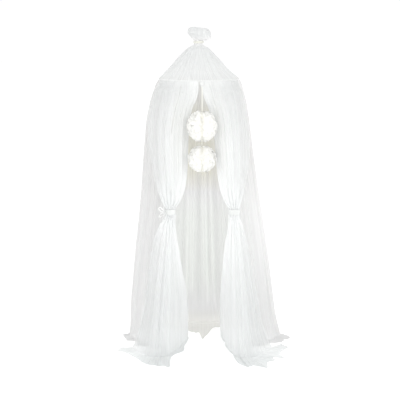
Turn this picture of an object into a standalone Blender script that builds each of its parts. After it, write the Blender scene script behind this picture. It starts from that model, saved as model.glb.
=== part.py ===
"""Crib canopy of gathered tulle on a hoop, with tied front curtains and two pompoms.

Metres, +Z up. The origin is the hanging point at the top of the puff, so the floor that the
hems lie on is at z = -TOTAL_HEIGHT. The front, where the curtains part, faces -Y. Sizes in
the tables are heights above the floor and distances from the hanging axis.
"""

import math

import bmesh
import bpy
import numpy as np
from mathutils import Vector

TOTAL_HEIGHT = 2.45
CLOTH_THICKNESS = 0.0018
SEAM_GAP = 0.0004

HOOP_RADIUS = 0.30
HOOP_TUBE_RADIUS = 0.0044
HOOP_HEIGHT = 2.062
RIM_RADIUS = 0.3075
RIM_HEIGHT = 2.0576
TOP_EDGE_HEIGHT = RIM_HEIGHT - SEAM_GAP - 0.0004

COLUMNS_PER_FOLD = 6
ROOF_FOLDS = 12
DRAPE_FOLDS = 13
PANEL_FOLDS = 6

NECK_RADIUS = 0.0300
NECK_X = -0.0030
NECK_HEIGHT = 2.3370
NECK_FOLD_DEPTH = 0.0040
NECK_BAND_RADIUS = NECK_RADIUS + NECK_FOLD_DEPTH + 0.0013
NECK_BAND_HEIGHT = 0.0150
NECK_BAND_THICKNESS = 0.0035

TIE_HEIGHT = 1.092
TIE_Y = -0.3350
LEFT_TIE_X = -0.2140
RIGHT_TIE_X = 0.2625
BUNDLE_HALF_WIDTH = 0.0415
BUNDLE_FOLD_DEPTH = 0.0240
BAND_HALF_WIDTH = BUNDLE_HALF_WIDTH + 0.0017
BAND_HALF_DEPTH = 0.0226
TIE_BAND_HEIGHT = 0.036
TIE_BAND_THICKNESS = 0.003
TIE_HALF_HEIGHT = 0.024
TIE_EASE_HEIGHT = 0.09
BAND_SEGMENTS = 28
BAND_RIDGE = 0.0006

# The bow on the left tie: its knot, seen from the middle of the band, its two loops and the
# middle lines of its two free ends, seen from the knot.
BOW_KNOT = (-0.0430, -0.0228, -0.0020)
BOW_KNOT_HALF_SIZE = (0.0095, 0.0100, 0.0120)
BOW_CLOTH_THICKNESS = 0.0020
BOW_LOOP_DEPTH = 0.011
BOW_END_DEPTH = 0.010
BOW_LOOPS = [
    # length, width, turn
    (0.056, 0.026, 50.0),
    (0.050, 0.024, 128.0),
]
BOW_LONG_END = [
    # across, along, up
    (0.0, 0.0, 0.0),
    (-0.004, -0.002, -0.022),
    (-0.011, -0.004, -0.042),
    (-0.013, -0.006, -0.062),
]
BOW_SHORT_END = [
    # across, along, up
    (0.0, 0.0, 0.0),
    (0.005, -0.009, -0.020),
    (0.006, -0.014, -0.038),
    (0.011, -0.017, -0.054),
]
# The knot of the right tie sits behind its band: its place across and its half size.
BACK_KNOT_ACROSS = 0.012
BACK_KNOT_HALF_SIZE = (0.0100, 0.0085, 0.0120)

STRING_RADIUS = 0.003
STRING_X = 0.0230
STRING_Y = -0.3215
KNOT_HEIGHT = 2.0400
KNOT_HALF_SIZE = (0.0140, 0.0120, 0.0170)

# Every pompom: height of its centre, half its width and half its height.
UPPER_POMPOM = (1.7308, 0.1125, 0.1160)
LOWER_POMPOM = (1.4897, 0.1055, 0.0985)

# The locks of a pompom, as shares of its half width: the core they grow from, how far they
# reach, how much wider they are at the tip than at the root, and their twist in radians.
POMPOM_CORE_SHARE = 0.42
LOCK_REACH = (0.90, 1.00)
LOCK_SPREAD = (1.60, 1.95)
LOCK_TWIST = (-0.35, 0.35)
POLE_LOCK_SPREAD = 1.55

WHITE_TULLE = (0.93, 0.94, 0.93)
CREAM_BAND = (0.90, 0.88, 0.74)
HOOP_WHITE = (0.92, 0.92, 0.91)
POMPOM_WHITE = (0.97, 0.97, 0.95)

# Rings of the roof, from the casing on the hoop up to the neck. Every ring is an ellipse:
# its left and right ends in the front view, half its depth, and how deep its gathers are.
ROOF_RINGS = [
    # left_x, left_height, right_x, right_height, half_depth, fold_depth
    (-0.3075, RIM_HEIGHT, 0.3075, RIM_HEIGHT, 0.3075, 0.0012),
    (-0.3072, 2.0640, 0.3072, 2.0640, 0.3072, 0.0012),
    (-0.3005, 2.0720, 0.3005, 2.0720, 0.3005, 0.0012),
    (-0.2400, 2.1300, 0.2330, 2.1270, 0.2340, 0.0045),
    (-0.1640, 2.2120, 0.1560, 2.2070, 0.1580, 0.0052),
    (-0.0800, 2.2940, 0.0720, 2.2900, 0.0760, 0.0052),
    (NECK_X - NECK_RADIUS, 2.3275, NECK_X + NECK_RADIUS, 2.3265, NECK_RADIUS, NECK_FOLD_DEPTH),
]

# Rings of the puff above the neck, which leans to the right and droops there.
PUFF_RINGS = [
    # left_x, left_height, right_x, right_height, half_depth, fold_depth
    (NECK_X - NECK_RADIUS, 2.3475, NECK_X + NECK_RADIUS, 2.3465, NECK_RADIUS, NECK_FOLD_DEPTH),
    (-0.0480, 2.3640, 0.0640, 2.3520, 0.0540, 0.0050),
    (-0.0820, 2.4120, 0.0900, 2.3700, 0.0840, 0.0070),
    (-0.0720, 2.4400, 0.0850, 2.4120, 0.0780, 0.0070),
    (-0.0440, 2.4520, 0.0520, 2.4420, 0.0500, 0.0045),
    (-0.0120, 2.4470, 0.0160, 2.4440, 0.0140, 0.0015),
]

# The drape's front edges stand this many degrees to the left and right of the front. The
# drape starts to draw inwards at one angle and lies fully inside the curtains at the next.
DRAPE_EDGE_ANGLE = 34.0
TUCK_START_ANGLE = 96.0
TUCK_FULL_ANGLE = 62.0
HEM_SMOOTHING_PASSES = 6

# Sections of the drape round the back and the sides, as distances from the axis. tuck is
# how far its front edges lie inside the curtains.
DRAPE_SECTIONS = [
    # height, left, right, front, back, tuck, fold_depth
    (TOP_EDGE_HEIGHT, 0.3075, 0.3075, 0.3075, 0.3075, 0.0105, 0.0012),
    (2.050, 0.3110, 0.3110, 0.3060, 0.3110, 0.0180, 0.0040),
    (2.025, 0.3280, 0.3210, 0.3060, 0.3160, 0.0340, 0.0070),
    (1.975, 0.3450, 0.3320, 0.3050, 0.3200, 0.0420, 0.0090),
    (1.880, 0.3740, 0.3540, 0.3040, 0.3240, 0.0440, 0.0110),
    (1.736, 0.3940, 0.3760, 0.3040, 0.3280, 0.0420, 0.0120),
    (1.500, 0.4150, 0.4070, 0.3050, 0.3320, 0.0450, 0.0130),
    (1.200, 0.4370, 0.4490, 0.3060, 0.3350, 0.0450, 0.0140),
    (0.950, 0.4600, 0.4880, 0.3100, 0.3380, 0.0450, 0.0150),
    (0.700, 0.4880, 0.5260, 0.3160, 0.3400, 0.0450, 0.0160),
    (0.450, 0.5110, 0.5600, 0.3260, 0.3420, 0.0450, 0.0170),
    (0.220, 0.5340, 0.5820, 0.3400, 0.3420, 0.0450, 0.0180),
    (0.070, 0.5440, 0.6100, 0.3500, 0.3400, 0.0450, 0.0180),
    (0.014, 0.5520, 0.6400, 0.3560, 0.3330, 0.0450, 0.0160),
]

# How far the drape's hem runs out over the floor beyond its foot. Angles are measured from
# the front, positive to the right. A negative reach lies inwards, under the canopy.
DRAPE_HEM_REACH = [
    # angle, reach
    (-180.0, -0.230),
    (-166.0, -0.200),
    (-150.0, -0.110),
    (-128.0, 0.015),
    (-112.0, 0.020),
    (-96.0, 0.065),
    (-88.0, 0.015),
    (-80.0, 0.062),
    (-70.0, 0.025),
    (-58.0, 0.055),
    (-34.0, 0.030),
    (34.0, 0.030),
    (58.0, 0.030),
    (74.0, 0.055),
    (87.0, 0.088),
    (97.0, 0.040),
    (112.0, 0.020),
    (135.0, 0.015),
    (152.0, -0.070),
    (158.0, -0.120),
    (164.0, -0.085),
    (171.0, -0.160),
    (174.0, -0.300),
    (177.5, -0.355),
    (180.0, -0.230),
]

# Above this height the front curtains draw in to the circle of the casing.
RIM_EASE_HEIGHT = 1.98

# Sections of the front curtains: inner edge, middle and outer edge in plan, and fold depth.
LEFT_PANEL_SECTIONS = [
    # height, inner_x, inner_y, middle_x, middle_y, outer_x, outer_y, fold_depth
    (TOP_EDGE_HEIGHT, -0.003, -0.3075, -0.1820, -0.2480, -0.2960, -0.0830, 0.0012),
    (2.040, -0.003, -0.3120, -0.1860, -0.2560, -0.3070, -0.0900, 0.0060),
    (1.995, -0.004, -0.3100, -0.1930, -0.2680, -0.3340, -0.1000, 0.0090),
    (1.925, -0.018, -0.2940, -0.2040, -0.2820, -0.3600, -0.1100, 0.0110),
    (1.865, -0.046, -0.2600, -0.2150, -0.2930, -0.3740, -0.1180, 0.0130),
    (1.730, -0.072, -0.2360, -0.2320, -0.3080, -0.3880, -0.1260, 0.0150),
    (1.600, -0.079, -0.2340, -0.2370, -0.3200, -0.3820, -0.1450, 0.0160),
    (1.440, -0.083, -0.2440, -0.2320, -0.3320, -0.3600, -0.1850, 0.0170),
    (1.290, -0.098, -0.2780, -0.2240, -0.3380, -0.3250, -0.2440, 0.0190),
    (1.170, -0.138, -0.3120, -0.2170, -0.3380, -0.2820, -0.3050, 0.0230),
    (TIE_HEIGHT + TIE_HALF_HEIGHT, LEFT_TIE_X + BUNDLE_HALF_WIDTH, TIE_Y, LEFT_TIE_X, TIE_Y,
     LEFT_TIE_X - BUNDLE_HALF_WIDTH, TIE_Y, BUNDLE_FOLD_DEPTH),
    (TIE_HEIGHT - TIE_HALF_HEIGHT, LEFT_TIE_X + BUNDLE_HALF_WIDTH, TIE_Y, LEFT_TIE_X, TIE_Y,
     LEFT_TIE_X - BUNDLE_HALF_WIDTH, TIE_Y, BUNDLE_FOLD_DEPTH),
    (0.985, -0.158, -0.3300, -0.2200, -0.3500, -0.2900, -0.3260, 0.0230),
    (0.830, -0.138, -0.2950, -0.2320, -0.3760, -0.3320, -0.3240, 0.0220),
    (0.630, -0.116, -0.2350, -0.2450, -0.4100, -0.3720, -0.3260, 0.0220),
    (0.400, -0.096, -0.1650, -0.2600, -0.4480, -0.4080, -0.3300, 0.0230),
    (0.200, -0.086, -0.1000, -0.2700, -0.4780, -0.4500, -0.3160, 0.0240),
    (0.065, -0.086, -0.0560, -0.2760, -0.4960, -0.4920, -0.2860, 0.0230),
    (0.014, -0.088, -0.0400, -0.2780, -0.5020, -0.5140, -0.2720, 0.0180),
]

RIGHT_PANEL_SECTIONS = [
    # height, inner_x, inner_y, middle_x, middle_y, outer_x, outer_y, fold_depth
    (TOP_EDGE_HEIGHT, 0.003, -0.3075, 0.1820, -0.2480, 0.2960, -0.0830, 0.0012),
    (2.040, 0.008, -0.3120, 0.1870, -0.2550, 0.3050, -0.0900, 0.0060),
    (1.995, 0.030, -0.3080, 0.1970, -0.2660, 0.3230, -0.1000, 0.0090),
    (1.925, 0.058, -0.2900, 0.2110, -0.2780, 0.3440, -0.1080, 0.0110),
    (1.865, 0.086, -0.2580, 0.2230, -0.2880, 0.3560, -0.1140, 0.0130),
    (1.730, 0.114, -0.2340, 0.2400, -0.3020, 0.3720, -0.1240, 0.0150),
    (1.600, 0.126, -0.2320, 0.2500, -0.3150, 0.3860, -0.1400, 0.0160),
    (1.440, 0.134, -0.2440, 0.2560, -0.3290, 0.3780, -0.1850, 0.0170),
    (1.290, 0.149, -0.2800, 0.2560, -0.3370, 0.3480, -0.2440, 0.0190),
    (1.170, 0.188, -0.3120, 0.2590, -0.3380, 0.3200, -0.3050, 0.0230),
    (TIE_HEIGHT + TIE_HALF_HEIGHT, RIGHT_TIE_X - BUNDLE_HALF_WIDTH, TIE_Y, RIGHT_TIE_X, TIE_Y,
     RIGHT_TIE_X + BUNDLE_HALF_WIDTH, TIE_Y, BUNDLE_FOLD_DEPTH),
    (TIE_HEIGHT - TIE_HALF_HEIGHT, RIGHT_TIE_X - BUNDLE_HALF_WIDTH, TIE_Y, RIGHT_TIE_X, TIE_Y,
     RIGHT_TIE_X + BUNDLE_HALF_WIDTH, TIE_Y, BUNDLE_FOLD_DEPTH),
    (0.985, 0.206, -0.3280, 0.2700, -0.3500, 0.3300, -0.3240, 0.0230),
    (0.830, 0.184, -0.2850, 0.2790, -0.3760, 0.3700, -0.3200, 0.0220),
    (0.630, 0.174, -0.2150, 0.2880, -0.4120, 0.4080, -0.3200, 0.0220),
    (0.400, 0.168, -0.1300, 0.2960, -0.4520, 0.4480, -0.3240, 0.0230),
    (0.200, 0.166, -0.0500, 0.3020, -0.4820, 0.4920, -0.3160, 0.0240),
    (0.065, 0.170, 0.0000, 0.3080, -0.5020, 0.5400, -0.2860, 0.0230),
    (0.014, 0.173, 0.0200, 0.3120, -0.5080, 0.5640, -0.2720, 0.0180),
]

# Where each curtain's hem ends on the floor, seen from its foot: across and along the floor,
# by the share of the curtain's width from the inner edge.
LEFT_PANEL_HEM = [
    # share, across, along
    (0.00, 0.008, 0.014),
    (0.12, 0.024, -0.006),
    (0.22, 0.038, -0.022),
    (0.28, 0.010, -0.030),
    (0.34, 0.004, -0.070),
    (0.40, 0.024, -0.215),
    (0.50, 0.003, -0.166),
    (0.64, -0.020, -0.133),
    (0.76, -0.035, -0.110),
    (0.84, -0.055, -0.055),
    (0.92, -0.065, -0.002),
    (0.97, -0.118, -0.020),
    (1.00, -0.060, 0.030),
]

RIGHT_PANEL_HEM = [
    # share, across, along
    (0.00, 0.008, 0.014),
    (0.15, 0.018, -0.005),
    (0.30, 0.020, -0.040),
    (0.40, 0.018, -0.170),
    (0.48, 0.046, -0.183),
    (0.56, 0.058, -0.114),
    (0.65, 0.130, -0.193),
    (0.70, 0.100, -0.040),
    (0.75, 0.143, -0.057),
    (0.79, 0.090, 0.030),
    (0.84, 0.170, -0.072),
    (0.89, 0.084, 0.037),
    (0.95, 0.169, 0.077),
    (1.00, 0.080, 0.095),
]

# Heights at which the meshes have their rows, above the part of the cloth on the floor.
DRAPE_ROW_HEIGHTS = [TOP_EDGE_HEIGHT, 2.040, 1.985, 1.860, 1.600, 1.250, 0.900, 0.500,
                     0.180, 0.060, 0.014]
PANEL_ROW_HEIGHTS = [TOP_EDGE_HEIGHT, 2.035, 1.960, 1.860, 1.700, 1.500, 1.320, 1.180,
                     TIE_HEIGHT + TIE_HALF_HEIGHT, TIE_HEIGHT - TIE_HALF_HEIGHT, 0.990,
                     0.800, 0.520, 0.220, 0.060, 0.014]
HEM_LIFT = 0.0050
HEM_EDGE_LIFT = 0.0012


def clear_scene():
    """Removes what Blender starts with."""
    for item in list(bpy.data.objects):
        bpy.data.objects.remove(item, do_unlink=True)


def make_material(name, color, roughness):
    """A plain Principled material."""
    material = bpy.data.materials.new(name)
    material.use_nodes = True
    shader = material.node_tree.nodes["Principled BSDF"]
    shader.inputs["Base Color"].default_value = (*color, 1.0)
    shader.inputs["Roughness"].default_value = roughness
    material.diffuse_color = (*color, 1.0)
    return material


def smooth_columns(table, places):
    """Reads every column of a table at the given places of its first column.

    The first column may fall or rise. The rows are joined by a cubic whose slope at a row
    is the harmonic mean of the slopes beside it, so that it never overshoots a row.
    """
    rows = np.array(table, dtype=float)
    if rows[0, 0] > rows[-1, 0]:
        rows = rows[::-1]
    knots = rows[:, 0]
    values = rows[:, 1:]
    steps = np.diff(knots)[:, None]
    slopes = np.diff(values, axis=0) / steps
    tangents = np.zeros_like(values)
    same_way = slopes[:-1] * slopes[1:] > 0.0
    total = slopes[:-1] + slopes[1:]
    mean = 2.0 * slopes[:-1] * slopes[1:] / np.where(same_way, total, 1.0)
    tangents[1:-1] = np.where(same_way, mean, 0.0)
    tangents[0] = slopes[0]
    tangents[-1] = slopes[-1]
    places = np.asarray(places, dtype=float)
    index = np.clip(np.searchsorted(knots, places) - 1, 0, len(knots) - 2)
    width = steps[index]
    share = ((places - knots[index]) / width[:, 0])[:, None]
    square = share * share
    cube = square * share
    return ((2 * cube - 3 * square + 1) * values[index]
            + (cube - 2 * square + share) * width * tangents[index]
            + (3 * square - 2 * cube) * values[index + 1]
            + (cube - square) * width * tangents[index + 1])


def fold_wave(shares, folds, seed, drift):
    """Uneven folds across a sheet: -1 in a valley, 1 on a crest.

    shares runs from 0 to 1 across the sheet. The seed shifts the crests unevenly, and
    drift moves them a little sideways, so that folds wander on their way down.
    """
    wander = (0.16 * np.sin(2.0 * math.pi * 2.0 * shares + seed)
              + 0.10 * np.sin(2.0 * math.pi * 5.0 * shares + 2.0 * seed + drift))
    height = 1.0 - 0.28 * (0.5 + 0.5 * np.sin(2.0 * math.pi * 3.0 * shares + 1.7 * seed))
    return height * np.sin(2.0 * math.pi * (folds * shares + wander) + drift)


def grid_object(name, points, closed, material, collection):
    """Turns rows of points into an open sheet and gives it its thickness.

    points is rows x columns x 3, heights counted from the floor. closed joins the last
    column to the first, as on a cone.
    """
    rows, columns = points.shape[:2]
    cloth = points.reshape(-1, 3).copy()
    cloth[:, 2] -= TOTAL_HEIGHT
    spans = columns if closed else columns - 1
    faces = []
    for row in range(rows - 1):
        for column in range(spans):
            beside = (column + 1) % columns
            faces.append((row * columns + column, (row + 1) * columns + column,
                          (row + 1) * columns + beside, row * columns + beside))
    mesh = bpy.data.meshes.new(name)
    mesh.from_pydata(cloth.tolist(), [], faces)
    mesh.shade_smooth()
    mesh.materials.append(material)
    sheet = bpy.data.objects.new(name, mesh)
    collection.objects.link(sheet)
    thickness = sheet.modifiers.new("Thickness", "SOLIDIFY")
    thickness.thickness = CLOTH_THICKNESS
    thickness.offset = 0.0
    thickness.use_rim = True
    return sheet


def outward_normals(lines):
    """Horizontal normals of plan curves, to the right of their run."""
    along = np.gradient(lines[..., :2], axis=-2)
    length = np.linalg.norm(along, axis=-1, keepdims=True)
    along = along / length
    return np.stack([along[..., 1], -along[..., 0]], axis=-1)


def build_roof(material, collection):
    """The cone and the puff: tilted ellipses, one above the other, with radial gathers."""
    rings = np.array(ROOF_RINGS + PUFF_RINGS)
    columns = ROOF_FOLDS * COLUMNS_PER_FOLD
    shares = np.arange(columns) / columns
    angles = 2.0 * math.pi * shares
    rows = []
    for number, (left_x, left_h, right_x, right_h, half_depth, fold_depth) in enumerate(rings):
        wave = fold_wave(shares, ROOF_FOLDS, 0.9, 0.05 * number)
        middle = 0.5 * np.array([left_x + right_x, 0.0, left_h + right_h])
        half = 0.5 * np.array([right_x - left_x, 0.0, right_h - left_h])
        reach = 1.0 + fold_depth * wave / half_depth
        ring = (middle
                + (np.sin(angles) * reach)[:, None] * half
                - (np.cos(angles) * reach)[:, None] * np.array([0.0, half_depth, 0.0]))
        rows.append(ring)
    return grid_object("roof", np.array(rows)[::-1], True, material, collection)


def drape_lines(heights):
    """Plan curves of the drape at the given heights, from the left edge round the back."""
    sections = smooth_columns(DRAPE_SECTIONS, heights)
    columns = DRAPE_FOLDS * COLUMNS_PER_FOLD + 1
    shares = np.linspace(0.0, 1.0, columns)
    first = math.radians(-DRAPE_EDGE_ANGLE)
    last = math.radians(DRAPE_EDGE_ANGLE - 360.0)
    angles = first + shares * (last - first)
    lines = []
    for height, (left, right, front, back, tuck, fold_depth) in zip(heights, sections):
        across = np.where(np.sin(angles) < 0.0, left, right)
        along = np.where(np.cos(angles) > 0.0, front, back)
        from_front = np.abs(np.degrees(np.arctan2(np.sin(angles), np.cos(angles))))
        span = TUCK_START_ANGLE - TUCK_FULL_ANGLE
        ease = np.clip((TUCK_START_ANGLE - from_front) / span, 0.0, 1.0)
        inset = tuck * ease * ease * (3.0 - 2.0 * ease)
        wave = fold_wave(shares, DRAPE_FOLDS, 2.1, 0.5 * height)
        radius_x = across - inset + fold_depth * wave
        radius_y = along - inset + fold_depth * wave
        lines.append(np.stack([radius_x * np.sin(angles), -radius_y * np.cos(angles),
                               np.full(columns, height)], axis=-1))
    return np.array(lines), np.degrees(angles)


def hem_rows(foot, run):
    """Rows of the hem that lies on the floor, from the foot of the cloth to its edge."""
    rows = []
    for share, lift in ((0.45, HEM_LIFT), (1.0, HEM_EDGE_LIFT)):
        row = foot.copy()
        row[:, :2] += share * run
        row[:, 2] = lift
        rows.append(row)
    return rows


def build_back_drape(material, collection):
    """The sheet round the back and the sides, with its hem on the floor."""
    lines, degrees = drape_lines(DRAPE_ROW_HEIGHTS)
    foot = lines[-1]
    smooth_foot = foot[:, :2].copy()
    for _ in range(HEM_SMOOTHING_PASSES):
        smooth_foot[1:-1] = 0.25 * (smooth_foot[:-2] + 2.0 * smooth_foot[1:-1] + smooth_foot[2:])
    normals = -outward_normals(smooth_foot)
    from_front = (degrees + 180.0) % 360.0 - 180.0
    reach = smooth_columns(DRAPE_HEM_REACH, from_front)
    rows = list(lines) + hem_rows(foot, normals * reach)
    return grid_object("back_drape", np.array(rows)[::-1], False, material, collection)


def build_panel(name, sections, hem, side, seed, material, collection):
    """A front curtain: gathered on the casing, drawn into its tie, fanned on the floor.

    Every section is a parabola through the inner edge, the middle and the outer edge,
    folded back and forth. At the tie the folds fill an oval bundle. side is -1 for the
    left curtain and 1 for the right.
    """
    heights = PANEL_ROW_HEIGHTS
    values = smooth_columns(sections, heights)
    columns = PANEL_FOLDS * COLUMNS_PER_FOLD + 1
    shares = np.linspace(0.0, 1.0, columns)
    inner = (2.0 * (shares - 0.5) * (shares - 1.0))[:, None]
    middle = (4.0 * shares * (1.0 - shares))[:, None]
    outer = (2.0 * shares * (shares - 0.5))[:, None]
    lines = []
    for height, row in zip(heights, values):
        base = inner * row[0:2] + middle * row[2:4] + outer * row[4:6]
        ease_height = TOP_EDGE_HEIGHT - RIM_EASE_HEIGHT
        at_rim = np.clip((height - RIM_EASE_HEIGHT) / ease_height, 0.0, 1.0)
        radius = np.linalg.norm(base, axis=1, keepdims=True)
        base = base * (1.0 - at_rim + at_rim * RIM_RADIUS / radius)
        normals = side * outward_normals(base)
        from_tie = max(abs(height - TIE_HEIGHT) - TIE_HALF_HEIGHT, 0.0)
        near_tie = math.exp(-(from_tie / TIE_EASE_HEIGHT) ** 2)
        oval = np.sqrt(np.clip(1.0 - (2.0 * shares - 1.0) ** 2, 0.0, 1.0))
        edge_ease = np.clip(8.0 * np.minimum(shares, 1.0 - shares), 0.0, 1.0)
        uneven = fold_wave(shares, PANEL_FOLDS, seed, 0.6 * height)
        even = np.sin(2.0 * math.pi * PANEL_FOLDS * shares)
        wave = (1.0 - near_tie) * uneven * edge_ease + near_tie * even * oval
        line = np.empty((columns, 3))
        line[:, :2] = base + normals * (row[6] * wave)[:, None]
        line[:, 2] = height
        lines.append(line)
    points = np.array(lines + hem_rows(lines[-1], smooth_columns(hem, shares)))
    if side > 0:
        points = points[::-1]
    return grid_object(name, points, False, material, collection)


def band_strip(name, centre, half_width, half_depth, height, thickness, turns):
    """A band round an oval: an open strip, ridged once for every turn, with a thickness."""
    segments = BAND_SEGMENTS
    levels = 2 * turns + 1
    rows = []
    for level in range(levels):
        share = level / (levels - 1)
        bulge = BAND_RIDGE if level % 2 else 0.0
        angles = 2.0 * math.pi * np.arange(segments) / segments
        rows.append(np.stack([centre[0] + (half_width + bulge) * np.sin(angles),
                              centre[1] - (half_depth + bulge) * np.cos(angles),
                              np.full(segments, centre[2] + (share - 0.5) * height)], axis=-1))
    points = np.array(rows)
    faces = []
    for row in range(levels - 1):
        for column in range(segments):
            beside = (column + 1) % segments
            faces.append((row * segments + column, row * segments + beside,
                          (row + 1) * segments + beside, (row + 1) * segments + column))
    cloth = points.reshape(-1, 3)
    cloth[:, 2] -= TOTAL_HEIGHT
    mesh = bpy.data.meshes.new(name)
    mesh.from_pydata(cloth.tolist(), [], faces)
    band = bpy.data.objects.new(name, mesh)
    shell = band.modifiers.new("Thickness", "SOLIDIFY")
    shell.thickness = thickness
    shell.offset = 1.0
    shell.use_even_offset = True
    return band


def ribbon(name, path, width, thickness, closed):
    """A flat strip along a path in the front view: width runs front to back."""
    path = np.array(path)
    rows = np.stack([path - (0.0, 0.5 * width, 0.0), path + (0.0, 0.5 * width, 0.0)])
    count = len(path)
    spans = count if closed else count - 1
    faces = [(column, (column + 1) % count, count + (column + 1) % count, count + column)
             for column in range(spans)]
    cloth = rows.reshape(-1, 3)
    cloth[:, 2] -= TOTAL_HEIGHT
    mesh = bpy.data.meshes.new(name)
    mesh.from_pydata(cloth.tolist(), [], faces)
    strip = bpy.data.objects.new(name, mesh)
    shell = strip.modifiers.new("Thickness", "SOLIDIFY")
    shell.thickness = thickness
    shell.offset = 0.0
    shell.use_even_offset = True
    return strip


def loop_path(root, length, width, turn, points):
    """A teardrop in the front view that starts and ends at its root.

    turn is the direction of its far end in degrees, counted from straight up to the left.
    """
    path = []
    for step in range(points):
        angle = 2.0 * math.pi * step / points
        along = 0.5 * length * (1.0 - math.cos(angle))
        across = 0.5 * width * math.sin(angle) * math.sin(0.5 * angle)
        direction = math.radians(turn)
        path.append((root[0] - along * math.sin(direction) + across * math.cos(direction),
                     root[1],
                     root[2] + along * math.cos(direction) + across * math.sin(direction)))
    return path


def oval_lump(name, centre, half_size):
    """A small rounded knot."""
    mesh = bpy.data.meshes.new(name)
    cage = bmesh.new()
    bmesh.ops.create_uvsphere(cage, u_segments=10, v_segments=6, radius=1.0)
    bmesh.ops.scale(cage, vec=half_size, verts=cage.verts)
    bmesh.ops.translate(cage, vec=(centre[0], centre[1], centre[2] - TOTAL_HEIGHT),
                        verts=cage.verts)
    cage.to_mesh(mesh)
    cage.free()
    return bpy.data.objects.new(name, mesh)


def fuse(name, pieces, material, collection, workshop):
    """Joins overlapping pieces into one solid. The first one keeps its name and is kept."""
    body = pieces[0]
    body.data.materials.append(material)
    collection.objects.link(body)
    for piece in pieces[1:]:
        workshop.objects.link(piece)
        piece.hide_render = True
        piece.display_type = "WIRE"
        union = body.modifiers.new("Join " + piece.name, "BOOLEAN")
        union.operation = "UNION"
        union.solver = "EXACT"
        union.object = piece
    body.name = name
    return body


def build_hoop(material, collection):
    """The round ring that the roof is stretched over."""
    bpy.ops.mesh.primitive_torus_add(major_segments=40, minor_segments=6,
                                     major_radius=HOOP_RADIUS, minor_radius=HOOP_TUBE_RADIUS,
                                     location=(0.0, 0.0, HOOP_HEIGHT - TOTAL_HEIGHT))
    hoop = bpy.context.active_object
    hoop.name = "hoop"
    hoop.data.materials.append(material)
    for home in list(hoop.users_collection):
        home.objects.unlink(hoop)
    collection.objects.link(hoop)


def build_ties(cloth, cream, collection, workshop):
    """The neck tie and the two curtain ties."""
    neck = band_strip("neck_tie", (NECK_X, 0.0, NECK_HEIGHT), NECK_BAND_RADIUS, NECK_BAND_RADIUS,
                      NECK_BAND_HEIGHT, NECK_BAND_THICKNESS, 2)
    fuse("neck_tie", [neck], cream, collection, workshop)

    left_band = band_strip("left_tie", (LEFT_TIE_X, TIE_Y, TIE_HEIGHT), BAND_HALF_WIDTH,
                           BAND_HALF_DEPTH, TIE_BAND_HEIGHT, TIE_BAND_THICKNESS, 1)
    middle = np.array([LEFT_TIE_X, TIE_Y, TIE_HEIGHT])
    knot = middle + BOW_KNOT
    bow = [oval_lump("left_tie_knot", knot, BOW_KNOT_HALF_SIZE)]
    for number, (length, width, turn) in enumerate(BOW_LOOPS):
        bow.append(ribbon("left_tie_loop_%d" % number, loop_path(knot, length, width, turn, 12),
                          BOW_LOOP_DEPTH, BOW_CLOTH_THICKNESS, True))
    for number, end in enumerate((BOW_LONG_END, BOW_SHORT_END)):
        bow.append(ribbon("left_tie_end_%d" % number, knot + end, BOW_END_DEPTH,
                          BOW_CLOTH_THICKNESS, False))
    fuse("left_tie", [left_band] + bow, cloth, collection, workshop)

    right_band = band_strip("right_tie", (RIGHT_TIE_X, TIE_Y, TIE_HEIGHT), BAND_HALF_WIDTH,
                            BAND_HALF_DEPTH, TIE_BAND_HEIGHT, TIE_BAND_THICKNESS, 1)
    back_knot = oval_lump("right_tie_knot",
                          (RIGHT_TIE_X + BACK_KNOT_ACROSS,
                           TIE_Y + BAND_HALF_DEPTH + BACK_KNOT_HALF_SIZE[1] - 0.001,
                           TIE_HEIGHT), BACK_KNOT_HALF_SIZE)
    fuse("right_tie", [right_band, back_knot], cloth, collection, workshop)


def build_pompom(name, size, seed, material, collection):
    """A ball of cloth locks: every face of a round core is drawn out into one lock.

    The core is turned so that a face looks straight up and one straight down. Those two
    locks reach exactly to half the pompom's height, where the string meets them.
    """
    height, half_width, half_height = size
    draw = np.random.default_rng(seed)
    cage = bmesh.new()
    bmesh.ops.create_icosphere(cage, subdivisions=2, radius=1.0)
    cage.faces.ensure_lookup_table()
    pole = cage.faces[0].normal.copy()
    turn = pole.rotation_difference(Vector((0.0, 0.0, 1.0))).to_matrix()
    bmesh.ops.rotate(cage, verts=cage.verts, matrix=turn)
    cage.normal_update()
    bmesh.ops.scale(cage, vec=(POMPOM_CORE_SHARE,) * 3, verts=cage.verts)
    roots = sorted(cage.faces, key=lambda face: face.index)
    tips = bmesh.ops.extrude_discrete_faces(cage, faces=roots)["faces"]
    for tip in tips:
        normal = tip.normal.copy()
        centre = tip.calc_center_median()
        at_pole = abs(normal.z) > 0.98
        reach = 1.0 if at_pole else draw.uniform(*LOCK_REACH)
        spread = POLE_LOCK_SPREAD if at_pole else draw.uniform(*LOCK_SPREAD)
        twist = 0.0 if at_pole else draw.uniform(*LOCK_TWIST)
        for corner in tip.verts:
            arm = corner.co - centre
            arm = arm * spread * math.cos(twist) + normal.cross(arm) * spread * math.sin(twist)
            corner.co = normal * reach + arm
    for vert in cage.verts:
        vert.co.x = vert.co.x * half_width + STRING_X
        vert.co.y = vert.co.y * half_width + STRING_Y
        vert.co.z = vert.co.z * half_height + height - TOTAL_HEIGHT
    bmesh.ops.recalc_face_normals(cage, faces=cage.faces)
    mesh = bpy.data.meshes.new(name)
    cage.to_mesh(mesh)
    cage.free()
    mesh.materials.append(material)
    collection.objects.link(bpy.data.objects.new(name, mesh))


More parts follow.
